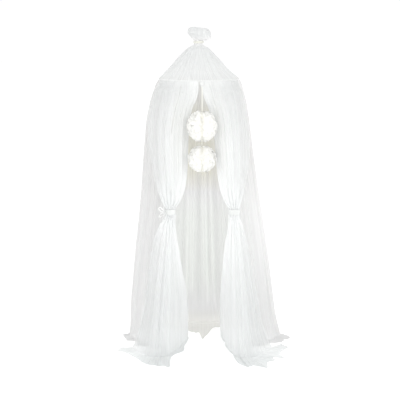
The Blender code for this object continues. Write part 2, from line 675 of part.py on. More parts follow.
def build_string(name, top, bottom, material, collection):
    """A straight hanging stretch of the pompom string."""
    curve = bpy.data.curves.new(name, "CURVE")
    curve.dimensions = "3D"
    curve.bevel_depth = STRING_RADIUS
    curve.bevel_resolution = 2
    curve.use_fill_caps = True
    steps = max(2, round((top - bottom) / (3.0 * 2.0 * STRING_RADIUS)))
    spline = curve.splines.new("POLY")
    spline.points.add(steps)
    for number, point in enumerate(spline.points):
        height = top + (bottom - top) * number / steps
        point.co = (STRING_X, STRING_Y, height - TOTAL_HEIGHT, 1.0)
    curve.materials.append(material)
    collection.objects.link(bpy.data.objects.new(name, curve))


def build_pompoms(cloth, cord, collection, workshop):
    """The knot on the casing, the string and the two pompoms."""
    knot = oval_lump("string_knot", (STRING_X, STRING_Y, KNOT_HEIGHT), KNOT_HALF_SIZE)
    fuse("string_knot", [knot], cloth, collection, workshop)
    build_pompom("pompom_upper", UPPER_POMPOM, 11, cloth, collection)
    build_pompom("pompom_lower", LOWER_POMPOM, 23, cloth, collection)
    build_string("pompom_string_upper", KNOT_HEIGHT - KNOT_HALF_SIZE[2] - SEAM_GAP,
                 UPPER_POMPOM[0] + UPPER_POMPOM[2] + SEAM_GAP, cord, collection)
    build_string("pompom_string_lower", UPPER_POMPOM[0] - UPPER_POMPOM[2] - SEAM_GAP,
                 LOWER_POMPOM[0] + LOWER_POMPOM[2] + SEAM_GAP, cord, collection)


def main():
    """Builds the whole canopy."""
    clear_scene()
    canopy = bpy.data.collections.new("crib_canopy")
    workshop = bpy.data.collections.new("pieces_to_join")
    bpy.context.scene.collection.children.link(canopy)
    bpy.context.scene.collection.children.link(workshop)
    tulle = make_material("white_tulle", WHITE_TULLE, 0.85)
    ruffle = make_material("pompom_tulle", POMPOM_WHITE, 0.80)
    cream = make_material("cream_band", CREAM_BAND, 0.75)
    ring = make_material("hoop_white", HOOP_WHITE, 0.45)
    build_roof(tulle, canopy)
    build_back_drape(tulle, canopy)
    build_panel("left_front_panel", LEFT_PANEL_SECTIONS, LEFT_PANEL_HEM, -1.0, 0.4, tulle, canopy)
    build_panel("right_front_panel", RIGHT_PANEL_SECTIONS, RIGHT_PANEL_HEM, 1.0, 1.3, tulle, canopy)
    build_hoop(ring, canopy)
    build_ties(tulle, cream, canopy, workshop)
    build_pompoms(ruffle, cream, canopy, workshop)


main()
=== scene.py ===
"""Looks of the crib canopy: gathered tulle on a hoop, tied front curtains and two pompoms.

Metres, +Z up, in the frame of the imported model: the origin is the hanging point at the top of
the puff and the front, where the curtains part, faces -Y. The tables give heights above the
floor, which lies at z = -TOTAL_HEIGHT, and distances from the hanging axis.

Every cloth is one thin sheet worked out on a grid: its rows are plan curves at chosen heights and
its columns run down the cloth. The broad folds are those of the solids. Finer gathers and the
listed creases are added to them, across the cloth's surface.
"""

from __future__ import annotations

import logging
import math
from abc import ABC, abstractmethod
from dataclasses import dataclass
from enum import Enum

import bmesh
import bpy
import numpy as np
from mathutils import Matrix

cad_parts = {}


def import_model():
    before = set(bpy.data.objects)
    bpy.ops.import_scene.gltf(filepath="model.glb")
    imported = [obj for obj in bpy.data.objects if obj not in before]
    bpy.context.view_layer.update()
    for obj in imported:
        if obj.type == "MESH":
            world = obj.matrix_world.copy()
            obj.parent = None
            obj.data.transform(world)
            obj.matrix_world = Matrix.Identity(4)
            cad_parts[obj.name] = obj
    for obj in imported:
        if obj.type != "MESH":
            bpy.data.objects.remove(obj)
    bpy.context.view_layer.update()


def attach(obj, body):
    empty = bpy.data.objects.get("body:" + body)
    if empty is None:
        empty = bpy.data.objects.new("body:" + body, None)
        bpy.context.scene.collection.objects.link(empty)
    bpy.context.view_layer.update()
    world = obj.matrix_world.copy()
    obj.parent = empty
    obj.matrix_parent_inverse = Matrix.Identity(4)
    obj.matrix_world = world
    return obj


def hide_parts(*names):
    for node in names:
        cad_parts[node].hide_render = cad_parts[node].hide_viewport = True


LOG = logging.getLogger("crib_canopy")

Table = list[tuple[float, ...]]
Stops = tuple[tuple[float, int], ...]
FULL_TURN = 2.0 * math.pi

TOTAL_HEIGHT = 2.45
SEAM_GAP = 0.0004
HEM_LIFT = 0.0012
RIPPLE_HEIGHT = 0.007
STRIP_WIDTH = 0.0125

HOOP_RADIUS = 0.30
HOOP_TUBE_RADIUS = 0.0044
HOOP_HEIGHT = 2.062
RIM_RADIUS = 0.3075
RIM_HEIGHT = 2.0576
TOP_EDGE_HEIGHT = RIM_HEIGHT - 2.0 * SEAM_GAP

NECK_RADIUS = 0.0300
NECK_X = -0.0030
NECK_HEIGHT = 2.3370
NECK_FOLD_DEPTH = 0.0040

TIE_HEIGHT = 1.092
TIE_HALF_HEIGHT = 0.024
TIE_EASE_HEIGHT = 0.09
TIE_Y = -0.3350
LEFT_TIE_X = -0.2140
RIGHT_TIE_X = 0.2625
LEFT_BUNDLE = 0.0370
RIGHT_BUNDLE = 0.0400
BUNDLE_FOLD_DEPTH = 0.0240

STRING_X = 0.0230
STRING_Y = -0.3215
KNOT_HEIGHT = 2.0400
KNOT_HALF_SIZE = (0.014, 0.012, 0.017)

# Height of the middle, half the width and half the height.
UPPER_POMPOM = (1.7308, 0.1125, 0.1160)
LOWER_POMPOM = (1.4897, 0.1055, 0.0985)


class Side(Enum):
    """Which front curtain is meant, with the sign of its X."""

    LEFT = -1.0
    RIGHT = 1.0


def tied(middle_x: float, half_width: float, side: Side) -> Table:
    """A curtain's sections at both edges of its tie, where it is one narrow bundle."""
    bundle = (middle_x - side.value * half_width, TIE_Y, middle_x, TIE_Y,
              middle_x + side.value * half_width, TIE_Y, BUNDLE_FOLD_DEPTH)
    return [(TIE_HEIGHT + end * TIE_HALF_HEIGHT, *bundle) for end in (1.0, -1.0)]


# Rings of the roof: the casing on the hoop, the cone, the neck, and the puff, which leans to
# the right and droops there. Every ring is a tilted ellipse.
ROOF_RINGS = [
    # left_x, left_height, right_x, right_height, half_depth, fold_depth, gather_depth
    (-0.3075, RIM_HEIGHT, 0.3075, RIM_HEIGHT, 0.3075, 0.0012, 0.0006),
    (-0.3072, 2.064, 0.3072, 2.064, 0.3072, 0.0012, 0.0008),
    (-0.3005, 2.072, 0.3005, 2.072, 0.3005, 0.0012, 0.0014),
    (-0.24, 2.13, 0.233, 2.127, 0.234, 0.0045, 0.0026),
    (-0.164, 2.212, 0.156, 2.207, 0.158, 0.0052, 0.0026),
    (-0.08, 2.294, 0.072, 2.29, 0.076, 0.0052, 0.0022),
    (-0.033, 2.3275, 0.027, 2.3265, 0.03, 0.004, 0.0004),
    (-0.033, 2.3475, 0.027, 2.3465, 0.03, 0.004, 0.0004),
    (-0.048, 2.364, 0.064, 2.352, 0.054, 0.0032, 0.0026),
    (-0.082, 2.412, 0.09, 2.37, 0.084, 0.0028, 0.0022),
    (-0.072, 2.44, 0.085, 2.412, 0.078, 0.0028, 0.0022),
    (-0.044, 2.451, 0.052, 2.441, 0.05, 0.0024, 0.0018),
    (-0.012, 2.447, 0.016, 2.444, 0.014, 0.0015, 0.001),
    (0.001, 2.444, 0.003, 2.443, 0.001, 0.0, 0.0),
]

# Sections of the drape round the back and the sides, as distances from the axis. tuck is how
# far its front edges lie inside the curtains.
DRAPE_SECTIONS = [
    # height, left, right, front, back, tuck, fold_depth
    (TOP_EDGE_HEIGHT, 0.3075, 0.3075, 0.3075, 0.3075, 0.0105, 0.0012),
    (2.05, 0.311, 0.311, 0.306, 0.311, 0.018, 0.004),
    (2.025, 0.328, 0.321, 0.306, 0.316, 0.034, 0.007),
    (1.975, 0.345, 0.332, 0.305, 0.32, 0.042, 0.009),
    (1.88, 0.374, 0.354, 0.304, 0.324, 0.044, 0.011),
    (1.736, 0.394, 0.376, 0.304, 0.328, 0.042, 0.012),
    (1.5, 0.415, 0.407, 0.305, 0.332, 0.045, 0.013),
    (1.2, 0.437, 0.449, 0.306, 0.335, 0.045, 0.014),
    (0.95, 0.46, 0.488, 0.31, 0.338, 0.045, 0.015),
    (0.7, 0.488, 0.526, 0.316, 0.34, 0.045, 0.016),
    (0.45, 0.511, 0.56, 0.326, 0.342, 0.045, 0.017),
    (0.22, 0.534, 0.59, 0.34, 0.342, 0.045, 0.018),
    (0.07, 0.544, 0.624, 0.35, 0.34, 0.045, 0.018),
    (0.014, 0.552, 0.64, 0.356, 0.333, 0.045, 0.016),
]

# How far the drape's hem runs out over the floor. Angles are measured from the front, positive
# to the right, and a negative reach lies inwards, under the canopy.
DRAPE_HEM_REACH = [
    # angle, reach
    (-180.0, -0.23), (-166.0, -0.2), (-150.0, -0.11), (-128.0, 0.015), (-112.0, 0.02),
    (-96.0, 0.065), (-88.0, 0.04), (-80.0, 0.062), (-70.0, 0.025), (-58.0, 0.055), (-34.0, 0.03),
    (34.0, 0.03), (58.0, 0.03), (74.0, 0.07), (87.0, 0.088), (97.0, 0.055), (112.0, 0.02),
    (135.0, 0.015), (152.0, -0.07), (158.0, -0.12), (164.0, -0.085), (171.0, -0.16),
    (174.0, -0.3), (177.5, -0.355), (180.0, -0.23),
]

# Sections of the front curtains: inner edge, middle and outer edge in plan, and fold depth.
LEFT_SECTIONS = [
    # height, inner_x, inner_y, middle_x, middle_y, outer_x, outer_y, fold_depth
    (TOP_EDGE_HEIGHT, -0.003, -0.3075, -0.182, -0.248, -0.296, -0.083, 0.0012),
    (2.04, -0.003, -0.312, -0.186, -0.256, -0.307, -0.09, 0.006),
    (1.995, -0.004, -0.31, -0.193, -0.268, -0.334, -0.1, 0.009),
    (1.925, -0.018, -0.294, -0.204, -0.282, -0.36, -0.11, 0.011),
    (1.865, -0.046, -0.26, -0.215, -0.293, -0.374, -0.118, 0.013),
    (1.73, -0.072, -0.236, -0.232, -0.308, -0.388, -0.126, 0.015),
    (1.6, -0.079, -0.234, -0.237, -0.32, -0.382, -0.145, 0.016),
    (1.44, -0.083, -0.244, -0.232, -0.332, -0.36, -0.185, 0.017),
    (1.29, -0.098, -0.278, -0.224, -0.338, -0.325, -0.244, 0.019),
    (1.17, -0.138, -0.312, -0.217, -0.338, -0.282, -0.305, 0.023),
    *tied(LEFT_TIE_X, LEFT_BUNDLE, Side.LEFT),
    (0.985, -0.176, -0.33, -0.224, -0.35, -0.298, -0.326, 0.021),
    (0.83, -0.158, -0.295, -0.236, -0.376, -0.348, -0.324, 0.021),
    (0.63, -0.13, -0.235, -0.248, -0.41, -0.38, -0.326, 0.021),
    (0.4, -0.096, -0.165, -0.26, -0.448, -0.408, -0.33, 0.023),
    (0.2, -0.086, -0.1, -0.27, -0.478, -0.45, -0.316, 0.024),
    (0.065, -0.086, -0.056, -0.276, -0.496, -0.492, -0.286, 0.023),
    (0.014, -0.088, -0.04, -0.278, -0.502, -0.514, -0.272, 0.018),
]

RIGHT_SECTIONS = [
    # height, inner_x, inner_y, middle_x, middle_y, outer_x, outer_y, fold_depth
    (TOP_EDGE_HEIGHT, 0.003, -0.3075, 0.182, -0.248, 0.296, -0.083, 0.0012),
    (2.04, 0.008, -0.312, 0.187, -0.255, 0.305, -0.09, 0.006),
    (1.995, 0.023, -0.308, 0.197, -0.266, 0.323, -0.1, 0.009),
    (1.925, 0.043, -0.29, 0.211, -0.278, 0.344, -0.108, 0.011),
    (1.865, 0.068, -0.258, 0.223, -0.288, 0.356, -0.114, 0.013),
    (1.73, 0.102, -0.234, 0.24, -0.302, 0.372, -0.124, 0.015),
    (1.6, 0.118, -0.232, 0.25, -0.315, 0.386, -0.14, 0.016),
    (1.44, 0.129, -0.244, 0.256, -0.329, 0.378, -0.185, 0.017),
    (1.29, 0.149, -0.28, 0.256, -0.337, 0.348, -0.244, 0.019),
    (1.17, 0.188, -0.312, 0.259, -0.338, 0.32, -0.305, 0.023),
    *tied(RIGHT_TIE_X, RIGHT_BUNDLE, Side.RIGHT),
    (0.985, 0.218, -0.328, 0.27, -0.35, 0.328, -0.324, 0.021),
    (0.83, 0.196, -0.285, 0.279, -0.376, 0.368, -0.32, 0.021),
    (0.63, 0.18, -0.215, 0.288, -0.412, 0.406, -0.32, 0.021),
    (0.4, 0.168, -0.13, 0.296, -0.452, 0.448, -0.324, 0.023),
    (0.2, 0.166, -0.05, 0.302, -0.482, 0.492, -0.316, 0.024),
    (0.065, 0.17, 0.0, 0.308, -0.502, 0.54, -0.286, 0.023),
    (0.014, 0.173, 0.02, 0.312, -0.508, 0.564, -0.272, 0.018),
]

# Where each curtain's hem ends on the floor, seen from its foot, by the share of the curtain's
# width from the inner edge.
LEFT_HEM = [
    # share, across, along
    (0.0, 0.008, 0.014), (0.12, 0.024, -0.006), (0.22, 0.038, -0.022), (0.28, 0.01, -0.03),
    (0.34, 0.004, -0.07), (0.4, 0.024, -0.215), (0.5, 0.003, -0.166), (0.64, -0.02, -0.133),
    (0.76, -0.035, -0.11), (0.84, -0.055, -0.055), (0.92, -0.088, -0.014), (0.97, -0.128, -0.03),
    (1.0, -0.085, 0.02),
]

RIGHT_HEM = [
    # share, across, along
    (0.0, 0.008, 0.014), (0.15, 0.018, -0.005), (0.3, 0.02, -0.04), (0.4, 0.02, -0.15),
    (0.48, 0.046, -0.183), (0.56, 0.066, -0.14), (0.65, 0.13, -0.193), (0.7, 0.112, -0.075),
    (0.75, 0.143, -0.057), (0.79, 0.12, -0.015), (0.84, 0.17, -0.072), (0.89, 0.116, 0.008),
    (0.95, 0.169, 0.077), (1.0, 0.08, 0.095),
]

# Creases, listed one by one. Each runs down its cloth from top to bottom, leaning by lean over its
# whole length: depth is positive for a ridge, and shade says how much thinner the net lies along
# it, or how much closer where it is negative. Shade also darkens the net's tone as painted shade,
# and lightens it as painted light where it is negative. Shares and widths are parts of the cloth's
# width.
LEFT_CREASES = [
    # share, width, top, bottom, lean, depth, shade
    (0.03, 0.02, 2.05, 1.56, 0.04, -0.0021, 0.3), (0.12, 0.017, 2.05, 1.7, 0.06, 0.0021, 0.06),
    (0.33, 0.014, 2.052, 1.64, 0.08, -0.0028, 0.6), (0.455, 0.017, 2.05, 1.48, 0.06, 0.0021, 0.0),
    (0.59, 0.022, 2.045, 1.3, 0.05, -0.0024, 0.22), (0.76, 0.02, 2.04, 1.35, 0.04, -0.0021, 0.18),
    (0.88, 0.017, 1.95, 1.25, 0.02, 0.0017, 0.0), (0.21, 0.027, 1.02, 0.15, -0.03, -0.0031, 0.18),
    (0.37, 0.02, 1.02, 0.35, -0.02, 0.0028, 0.0), (0.56, 0.025, 0.98, 0.12, 0.03, -0.0031, 0.14),
    (0.78, 0.027, 1.0, 0.1, 0.05, -0.0035, 0.2), (0.91, 0.02, 0.9, 0.08, 0.03, 0.0024, 0.0),
]

RIGHT_CREASES = [
    # share, width, top, bottom, lean, depth, shade
    (0.06, 0.017, 2.04, 1.7, 0.02, 0.0021, 0.0), (0.17, 0.02, 2.052, 1.78, 0.02, -0.0024, 0.28),
    (0.3, 0.017, 2.05, 1.5, 0.03, 0.0021, 0.0), (0.47, 0.022, 2.05, 1.42, 0.05, -0.0024, 0.18),
    (0.65, 0.02, 2.045, 1.5, 0.03, -0.0021, 0.17), (0.83, 0.02, 2.0, 1.3, 0.02, 0.0017, 0.0),
    (0.13, 0.024, 1.02, 0.12, -0.02, -0.0028, 0.16), (0.33, 0.02, 1.03, 0.24, 0.0, 0.0028, 0.0),
    (0.52, 0.027, 0.98, 0.1, 0.03, -0.0035, 0.18), (0.69, 0.02, 0.7, 0.05, 0.06, -0.0035, 0.2),
    (0.86, 0.024, 0.98, 0.08, 0.03, 0.0024, 0.0),
]

# On the drape the shares run from its left front edge round the back to its right one, so the
# part that shows between the curtains is near 0.5.
DRAPE_CREASES = [
    # share, width, top, bottom, lean, depth, shade
    (0.1, 0.008, 2.04, 0.2, 0.012, -0.008, 0.2), (0.19, 0.009, 1.9, 0.1, -0.01, 0.008, 0.0),
    (0.27, 0.008, 2.04, 0.3, 0.01, -0.007, 0.2), (0.36, 0.009, 1.8, 0.05, -0.008, 0.008, 0.0),
    (0.448, 0.007, 2.04, 0.3, 0.0, -0.008, 0.4), (0.461, 0.004, 1.6, 0.1, 0.003, 0.009, -0.5),
    (0.472, 0.003, 1.45, 0.2, 0.002, 0.008, -0.4), (0.482, 0.003, 1.5, 0.2, -0.002, 0.008, -0.5),
    (0.497, 0.006, 2.04, 0.06, 0.004, -0.01, 0.6), (0.512, 0.003, 1.45, 0.3, 0.002, 0.008, -0.5),
    (0.521, 0.004, 1.6, 0.08, 0.003, 0.009, -0.55), (0.53, 0.003, 1.5, 0.3, 0.001, -0.006, 0.5),
    (0.538, 0.004, 1.6, 0.12, 0.003, 0.009, -0.5), (0.556, 0.009, 2.04, 0.06, 0.0, -0.012, 0.6),
    (0.64, 0.009, 1.9, 0.1, 0.01, -0.008, 0.2), (0.73, 0.008, 2.04, 0.2, -0.01, 0.008, 0.0),
    (0.82, 0.009, 1.9, 0.1, 0.008, -0.008, 0.2), (0.91, 0.008, 2.04, 0.4, -0.008, 0.007, 0.0),
]

# How bright and how close the net of a front curtain looks, from the casing down to the hem:
# gathered tightly at the tie it is white, partly as painted light against the shade of its deep
# folds, and spread out over the floor it is thin and grey, partly as painted shade where less
# light falls low down.
CURTAIN_LIGHT = [
    # height, tone, cover
    (2.06, 0.5, 0.9), (2.0, 0.48, 0.8), (1.85, 0.61, 0.8), (1.6, 0.75, 0.84), (1.35, 0.72, 0.9),
    (1.18, 0.82, 0.95), (1.092, 1.0, 0.97), (0.98, 0.82, 0.96), (0.82, 0.7, 0.9),
    (0.62, 0.52, 0.85), (0.4, 0.35, 0.82), (0.18, 0.32, 0.84), (0.03, 0.12, 0.9),
    (0.0, 0.02, 0.94),
]

# The same for the drape, round its width from the left front edge to the right one. The back,
# where it shows through the doorway, is dimmed with painted shade under the roof and over the
# floor, and the right side is lighter with painted light.
DRAPE_LIGHT = [
    # share, tone at the top, tone half way down, tone at the floor, cover
    (0.0, 0.46, 0.48, 0.52, 0.76), (0.16, 0.46, 0.48, 0.52, 0.8), (0.3, 0.36, 0.42, 0.5, 0.88),
    (0.42, 0.14, 0.6, 0.42, 0.94), (0.5, 0.1, 0.64, 0.42, 0.95), (0.58, 0.14, 0.6, 0.42, 0.94),
    (0.7, 0.44, 0.52, 0.56, 0.88), (0.84, 0.66, 0.84, 0.5, 0.8), (1.0, 0.52, 0.54, 0.5, 0.72),
]

# The same for the roof, by its height. Its tone is raised round the neck as painted light against
# the shade of the gathers there.
ROOF_LIGHT = [
    # height, tone, cover
    (2.05, 0.46, 0.94), (2.075, 0.42, 0.8), (2.14, 0.42, 0.84), (2.24, 0.4, 0.9),
    (2.3, 0.44, 0.96), (2.335, 0.9, 0.98), (2.362, 0.84, 0.97), (2.39, 0.5, 0.95),
    (2.42, 0.5, 0.94), (2.46, 0.24, 0.94),
]


def read_columns(table: Table, places: np.ndarray) -> np.ndarray:
    """Reads every column of a table at places of its first column.

    Between two rows a value follows a cubic. Its slope at a row is the harmonic mean of the
    slopes beside it, and zero where they differ in sign, so it never overshoots a row.

    Args:
        table: rows whose first column rises or falls.
        places: where to read, in the units of the first column.

    Returns:
        One row for each place, one column for each column of the table but the first.
    """
    rows = np.array(table, dtype=float)
    if rows[0, 0] > rows[-1, 0]:
        rows = rows[::-1]
    knots = rows[:, 0]
    values = rows[:, 1:]
    steps = np.diff(knots)[:, None]
    slopes = np.diff(values, axis=0) / steps
    same_way = slopes[:-1] * slopes[1:] > 0.0
    total = np.where(same_way, slopes[:-1] + slopes[1:], 1.0)
    tangents = np.empty_like(values)
    tangents[1:-1] = np.where(same_way, 2.0 * slopes[:-1] * slopes[1:] / total, 0.0)
    tangents[0] = slopes[0]
    tangents[-1] = slopes[-1]
    index = np.clip(np.searchsorted(knots, places) - 1, 0, len(knots) - 2)
    width = steps[index]
    share = ((places - knots[index]) / width[:, 0])[:, None]
    square = share * share
    cube = square * share
    return ((2.0 * cube - 3.0 * square + 1.0) * values[index]
            + (cube - 2.0 * square + share) * width * tangents[index]
            + (3.0 * square - 2.0 * cube) * values[index + 1]
            + (cube - square) * width * tangents[index + 1])


def ease(values: np.ndarray, start: float, end: float) -> np.ndarray:
    """Smooth step: 0 at start, 1 at end, with a level tangent at both."""
    share = np.clip((values - start) / (end - start), 0.0, 1.0)
    return share * share * (3.0 - 2.0 * share)


def fold_wave(shares: np.ndarray, folds: int, seed: float, drift: np.ndarray) -> np.ndarray:
    """The broad folds of the solids, -1 in a valley and 1 on a crest.

    A sine of the share whose phase wanders by two slower sines and whose height varies by a
    third, so that no two folds are alike. drift moves the crests sideways from row to row.
    """
    wander = (0.16 * np.sin(FULL_TURN * 2.0 * shares + seed)
              + 0.10 * np.sin(FULL_TURN * 5.0 * shares + 2.0 * seed + drift))
    height = 1.0 - 0.28 * (0.5 + 0.5 * np.sin(FULL_TURN * 3.0 * shares + 1.7 * seed))
    return height * np.sin(FULL_TURN * (folds * shares + wander) + drift)


def gather_wave(shares: np.ndarray, count: float, seed: float, drift: np.ndarray) -> np.ndarray:
    """Fine uneven gathers between -1 and 1, as a drawstring makes them.

    The sum of three sines of one wandering phase, at 1, 0.61 and 1.83 times the count, so
    that gathers join and part on their way down as drift grows.
    """
    phase = FULL_TURN * (count * shares + 0.55 * np.sin(FULL_TURN * 3.0 * shares + seed)
                         + 0.30 * np.sin(FULL_TURN * 8.0 * shares + 2.3 * seed + drift)
                         + 0.12 * drift * np.sin(FULL_TURN * 5.0 * shares + 1.3 * seed))
    return (0.55 * np.sin(phase)
            + 0.32 * np.sin(0.61 * phase + 4.0 * seed + 0.8 * drift)
            + 0.22 * np.sin(1.83 * phase + 1.7 * seed - 1.1 * drift))


def crease_fields(creases: Table, shares: np.ndarray,
                  heights: np.ndarray) -> tuple[np.ndarray, np.ndarray]:
    """Depth and thinning that the listed creases give a cloth.

    A crease is a bell across the cloth, exp(-(distance / width)^2), that fades in and out
    over a tenth of its length at both ends.

    Args:
        creases: rows of share, width, top, bottom, lean, depth and shade.
        shares: the share across the cloth of every column.
        heights: the height of every row.

    Returns:
        The depth in metres and the thinning from -0.8 to 0.8, both rows x columns. The nets also
        darken their tone by the thinning, as painted shade.
    """
    depth = np.zeros((len(heights), len(shares)))
    shade = np.zeros_like(depth)
    for share, width, top, bottom, lean, crease_depth, crease_shade in creases:
        length = top - bottom
        way = (top - heights) / length
        window = ease(way, 0.0, 0.1) * (1.0 - ease(way, 0.85, 1.0))
        middle = share + lean * np.clip(way, 0.0, 1.0)
        bell = np.exp(-((shares[None, :] - middle[:, None]) / width) ** 2) * window[:, None]
        depth += crease_depth * bell
        shade += crease_shade * bell
    return depth, np.clip(shade, -0.8, 0.8)


def side_normals(lines: np.ndarray) -> np.ndarray:
    """Level unit vectors that point to the right of the run of plan curves."""
    along = np.gradient(lines[..., :2], axis=-2)
    along = along / np.maximum(np.linalg.norm(along, axis=-1, keepdims=True), 1e-9)
    return np.stack([along[..., 1], -along[..., 0]], axis=-1)


def around(count: int) -> np.ndarray:
    """Angles of the columns of a closed surface, in one row."""
    return np.linspace(0.0, FULL_TURN, count + 1)[:-1][None, :]


def in_frame(x: float, y: float, height: float) -> np.ndarray:
    """The point of the frame at a height above the floor."""
    return np.array([x, y, height - TOTAL_HEIGHT])


def srgb(hex_code: str) -> tuple[float, float, float, float]:
    """Turns an sRGB hex colour into the linear colour that a shader takes."""
    channels = [int(hex_code[place:place + 2], 16) / 255.0 for place in (1, 3, 5)]
    linear = [c / 12.92 if c <= 0.04045 else ((c + 0.055) / 1.055) ** 2.4 for c in channels]
    return (*linear, 1.0)


@dataclass
class Cloth:
    """A sheet on a grid: points are rows x columns x 3, from the top row down.

    cover says how much of what is behind it the net hides, and tone how bright its threads are,
    from thin grey net at 0 to packed white net at 1; the tone also carries painted light and
    painted shade. Both are rows x columns. warmth is a painted tint of the shaded inside, from
    greenish at -1 to cream at 1.
    """

    points: np.ndarray
    cover: np.ndarray
    tone: np.ndarray
    flat_width: float
    closed: bool = False
    flipped: bool = False
    warmth: np.ndarray | float = 0.0

    def lengths_down(self) -> np.ndarray:
        """Mean distance of every row from the top row, measured along the cloth."""
        steps = np.linalg.norm(np.diff(self.points, axis=0), axis=2).mean(axis=1)
        return np.concatenate([[0.0], np.cumsum(steps)])

    def loops(self) -> tuple[np.ndarray, np.ndarray]:
        """Corners of the four-sided faces, and the UV of each corner in metres of cloth."""
        rows, columns = self.points.shape[:2]
        spans = columns if self.closed else columns - 1
        row = np.arange(rows - 1)[:, None]
        column = np.arange(spans)[None, :]
        beside = (column + 1) % columns
        corners = [row * columns + column, (row + 1) * columns + column,
                   (row + 1) * columns + beside, row * columns + beside]
        step = self.flat_width / spans
        across = np.broadcast_to(column * step, (rows - 1, spans))
        down = np.broadcast_to(self.lengths_down()[:, None], (rows, spans))
        plan = [(across, down[:-1]), (across, down[1:]),
                (across + step, down[1:]), (across + step, down[:-1])]
        if self.flipped:
            corners = corners[::-1]
            plan = plan[::-1]
        uv = np.stack([np.stack(pair, axis=-1) for pair in plan], axis=-2)
        return np.stack(corners, axis=-1).reshape(-1), uv.reshape(-1, 2)


def cloth_mesh(name: str, cloths: list[Cloth]) -> bpy.types.Mesh:
    """Puts one or more grids of cloth into a mesh.

    Args:
        name: the name of the mesh.
        cloths: the grids, each with its own UV in metres of flat cloth.

    Returns:
        A smooth mesh with the UV map flat_cloth and the point attributes cover, tone and
        warmth.
    """
    points = np.concatenate([cloth.points.reshape(-1, 3) for cloth in cloths])
    starts = np.cumsum([0] + [cloth.points.size // 3 for cloth in cloths])
    pairs = [cloth.loops() for cloth in cloths]
    loops = np.concatenate([corner + start for (corner, _), start in zip(pairs, starts)])
    uv = np.concatenate([plan for _, plan in pairs])
    mesh = bpy.data.meshes.new(name)
    mesh.vertices.add(len(points))
    mesh.vertices.foreach_set("co", points.reshape(-1))
    mesh.loops.add(len(loops))
    mesh.loops.foreach_set("vertex_index", loops.astype(np.int32))
    mesh.polygons.add(len(loops) // 4)
    mesh.polygons.foreach_set("loop_start", np.arange(0, len(loops), 4, dtype=np.int32))
    mesh.update(calc_edges=True)
    mesh.uv_layers.new(name="flat_cloth").data.foreach_set("uv", uv.reshape(-1))
    for word in ("cover", "tone", "warmth"):
        values = np.concatenate([np.broadcast_to(getattr(cloth, word), cloth.points.shape[:2])
                                 .reshape(-1) for cloth in cloths])
        mesh.attributes.new(word, "FLOAT", "POINT").data.foreach_set("value", values)
    mesh.shade_smooth()
    mesh.validate()
    return mesh


def closer(cover: np.ndarray, points: np.ndarray, closed: bool) -> np.ndarray:
    """Makes the net closer where a fold turns edge-on and more open on its crests.

    With reach the distance between neighbours across the cloth, and mean its average over the
    row, the optical depth -log(1 - cover) is multiplied by (mean / reach) ^ 0.3.

    Args:
        cover: the cover of the cloth as if it were spread evenly.
        points: the cloth, rows x columns x 3.
        closed: whether the last column meets the first.

    Returns:
        The cover at every point, never quite open and never quite shut.
    """
    after = np.roll(points, -1, axis=1)
    before = np.roll(points, 1, axis=1)
    if not closed:
        after[:, -1] = 2.0 * points[:, -1] - points[:, -2]
        before[:, 0] = 2.0 * points[:, 0] - points[:, 1]
    reach = np.maximum(np.linalg.norm(after - before, axis=2), 1e-6)
    packing = np.clip(reach.mean(axis=1, keepdims=True) / reach, 0.4, 2.5) ** 0.3
    depth = -np.log(1.0 - np.clip(cover, 0.02, 0.985)) * packing
    return np.clip(1.0 - np.exp(-depth), 0.05, 0.985)


def close_seams(mesh: bpy.types.Mesh) -> None:
    """Merges points that lie on each other, so that a closed surface has no open seam.

    Args:
        mesh: a closed surface made of grids, which is changed in place.
    """
    cage = bmesh.new()
    cage.from_mesh(mesh)
    bmesh.ops.remove_doubles(cage, verts=cage.verts, dist=1e-6)
    bmesh.ops.recalc_face_normals(cage, faces=cage.faces)
    cage.to_mesh(mesh)
    cage.free()


def dressed(name: str, cloths: list[Cloth], material: bpy.types.Material,
            nodes: list[str], closed: bool = False) -> bpy.types.Object:
    """Makes a piece of one or more grids, which rides on the canopy's one body.

    Args:
        name: the piece's name.
        cloths: its grids.
        material: its finish.
        nodes: the solids that it stands for.
        closed: whether its seams and poles are closed.

    Returns:
        The piece, at the origin, unturned and unscaled.
    """
    mesh = cloth_mesh(name, cloths)
    if closed:
        close_seams(mesh)
    mesh.materials.append(material)
    piece = bpy.data.objects.new(name, mesh)
    bpy.context.scene.collection.objects.link(piece)
    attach(piece, "root")
    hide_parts(*nodes)
    return piece


def report(piece: bpy.types.Object) -> None:
    """Logs a finished piece with its number of faces."""
    LOG.info("%s: %d faces", piece.name, len(piece.data.polygons))


def add_node(tree: bpy.types.NodeTree, kind: str, settings: dict | None = None,
             inputs: dict | None = None) -> bpy.types.Node:
    """Adds a shader node.

    Args:
        tree: the tree that gets it.
        kind: the node's type name, without ShaderNode in front.
        settings: properties of the node and their values.
        inputs: sockets by name or number, and either a value or the socket linked to it.

    Returns:
        The node.
    """
    node = tree.nodes.new("ShaderNode" + kind)
    for key, value in (settings or {}).items():
        setattr(node, key, value)
    for key, value in (inputs or {}).items():
        if isinstance(value, bpy.types.NodeSocket):
            tree.links.new(value, node.inputs[key])
        else:
            node.inputs[key].default_value = value
    return node


def new_material(name: str) -> tuple[bpy.types.Material, bpy.types.NodeTree]:
    """A material with an empty node tree."""
    material = bpy.data.materials.new(name)
    material.use_nodes = True
    material.node_tree.nodes.clear()
    return material, material.node_tree


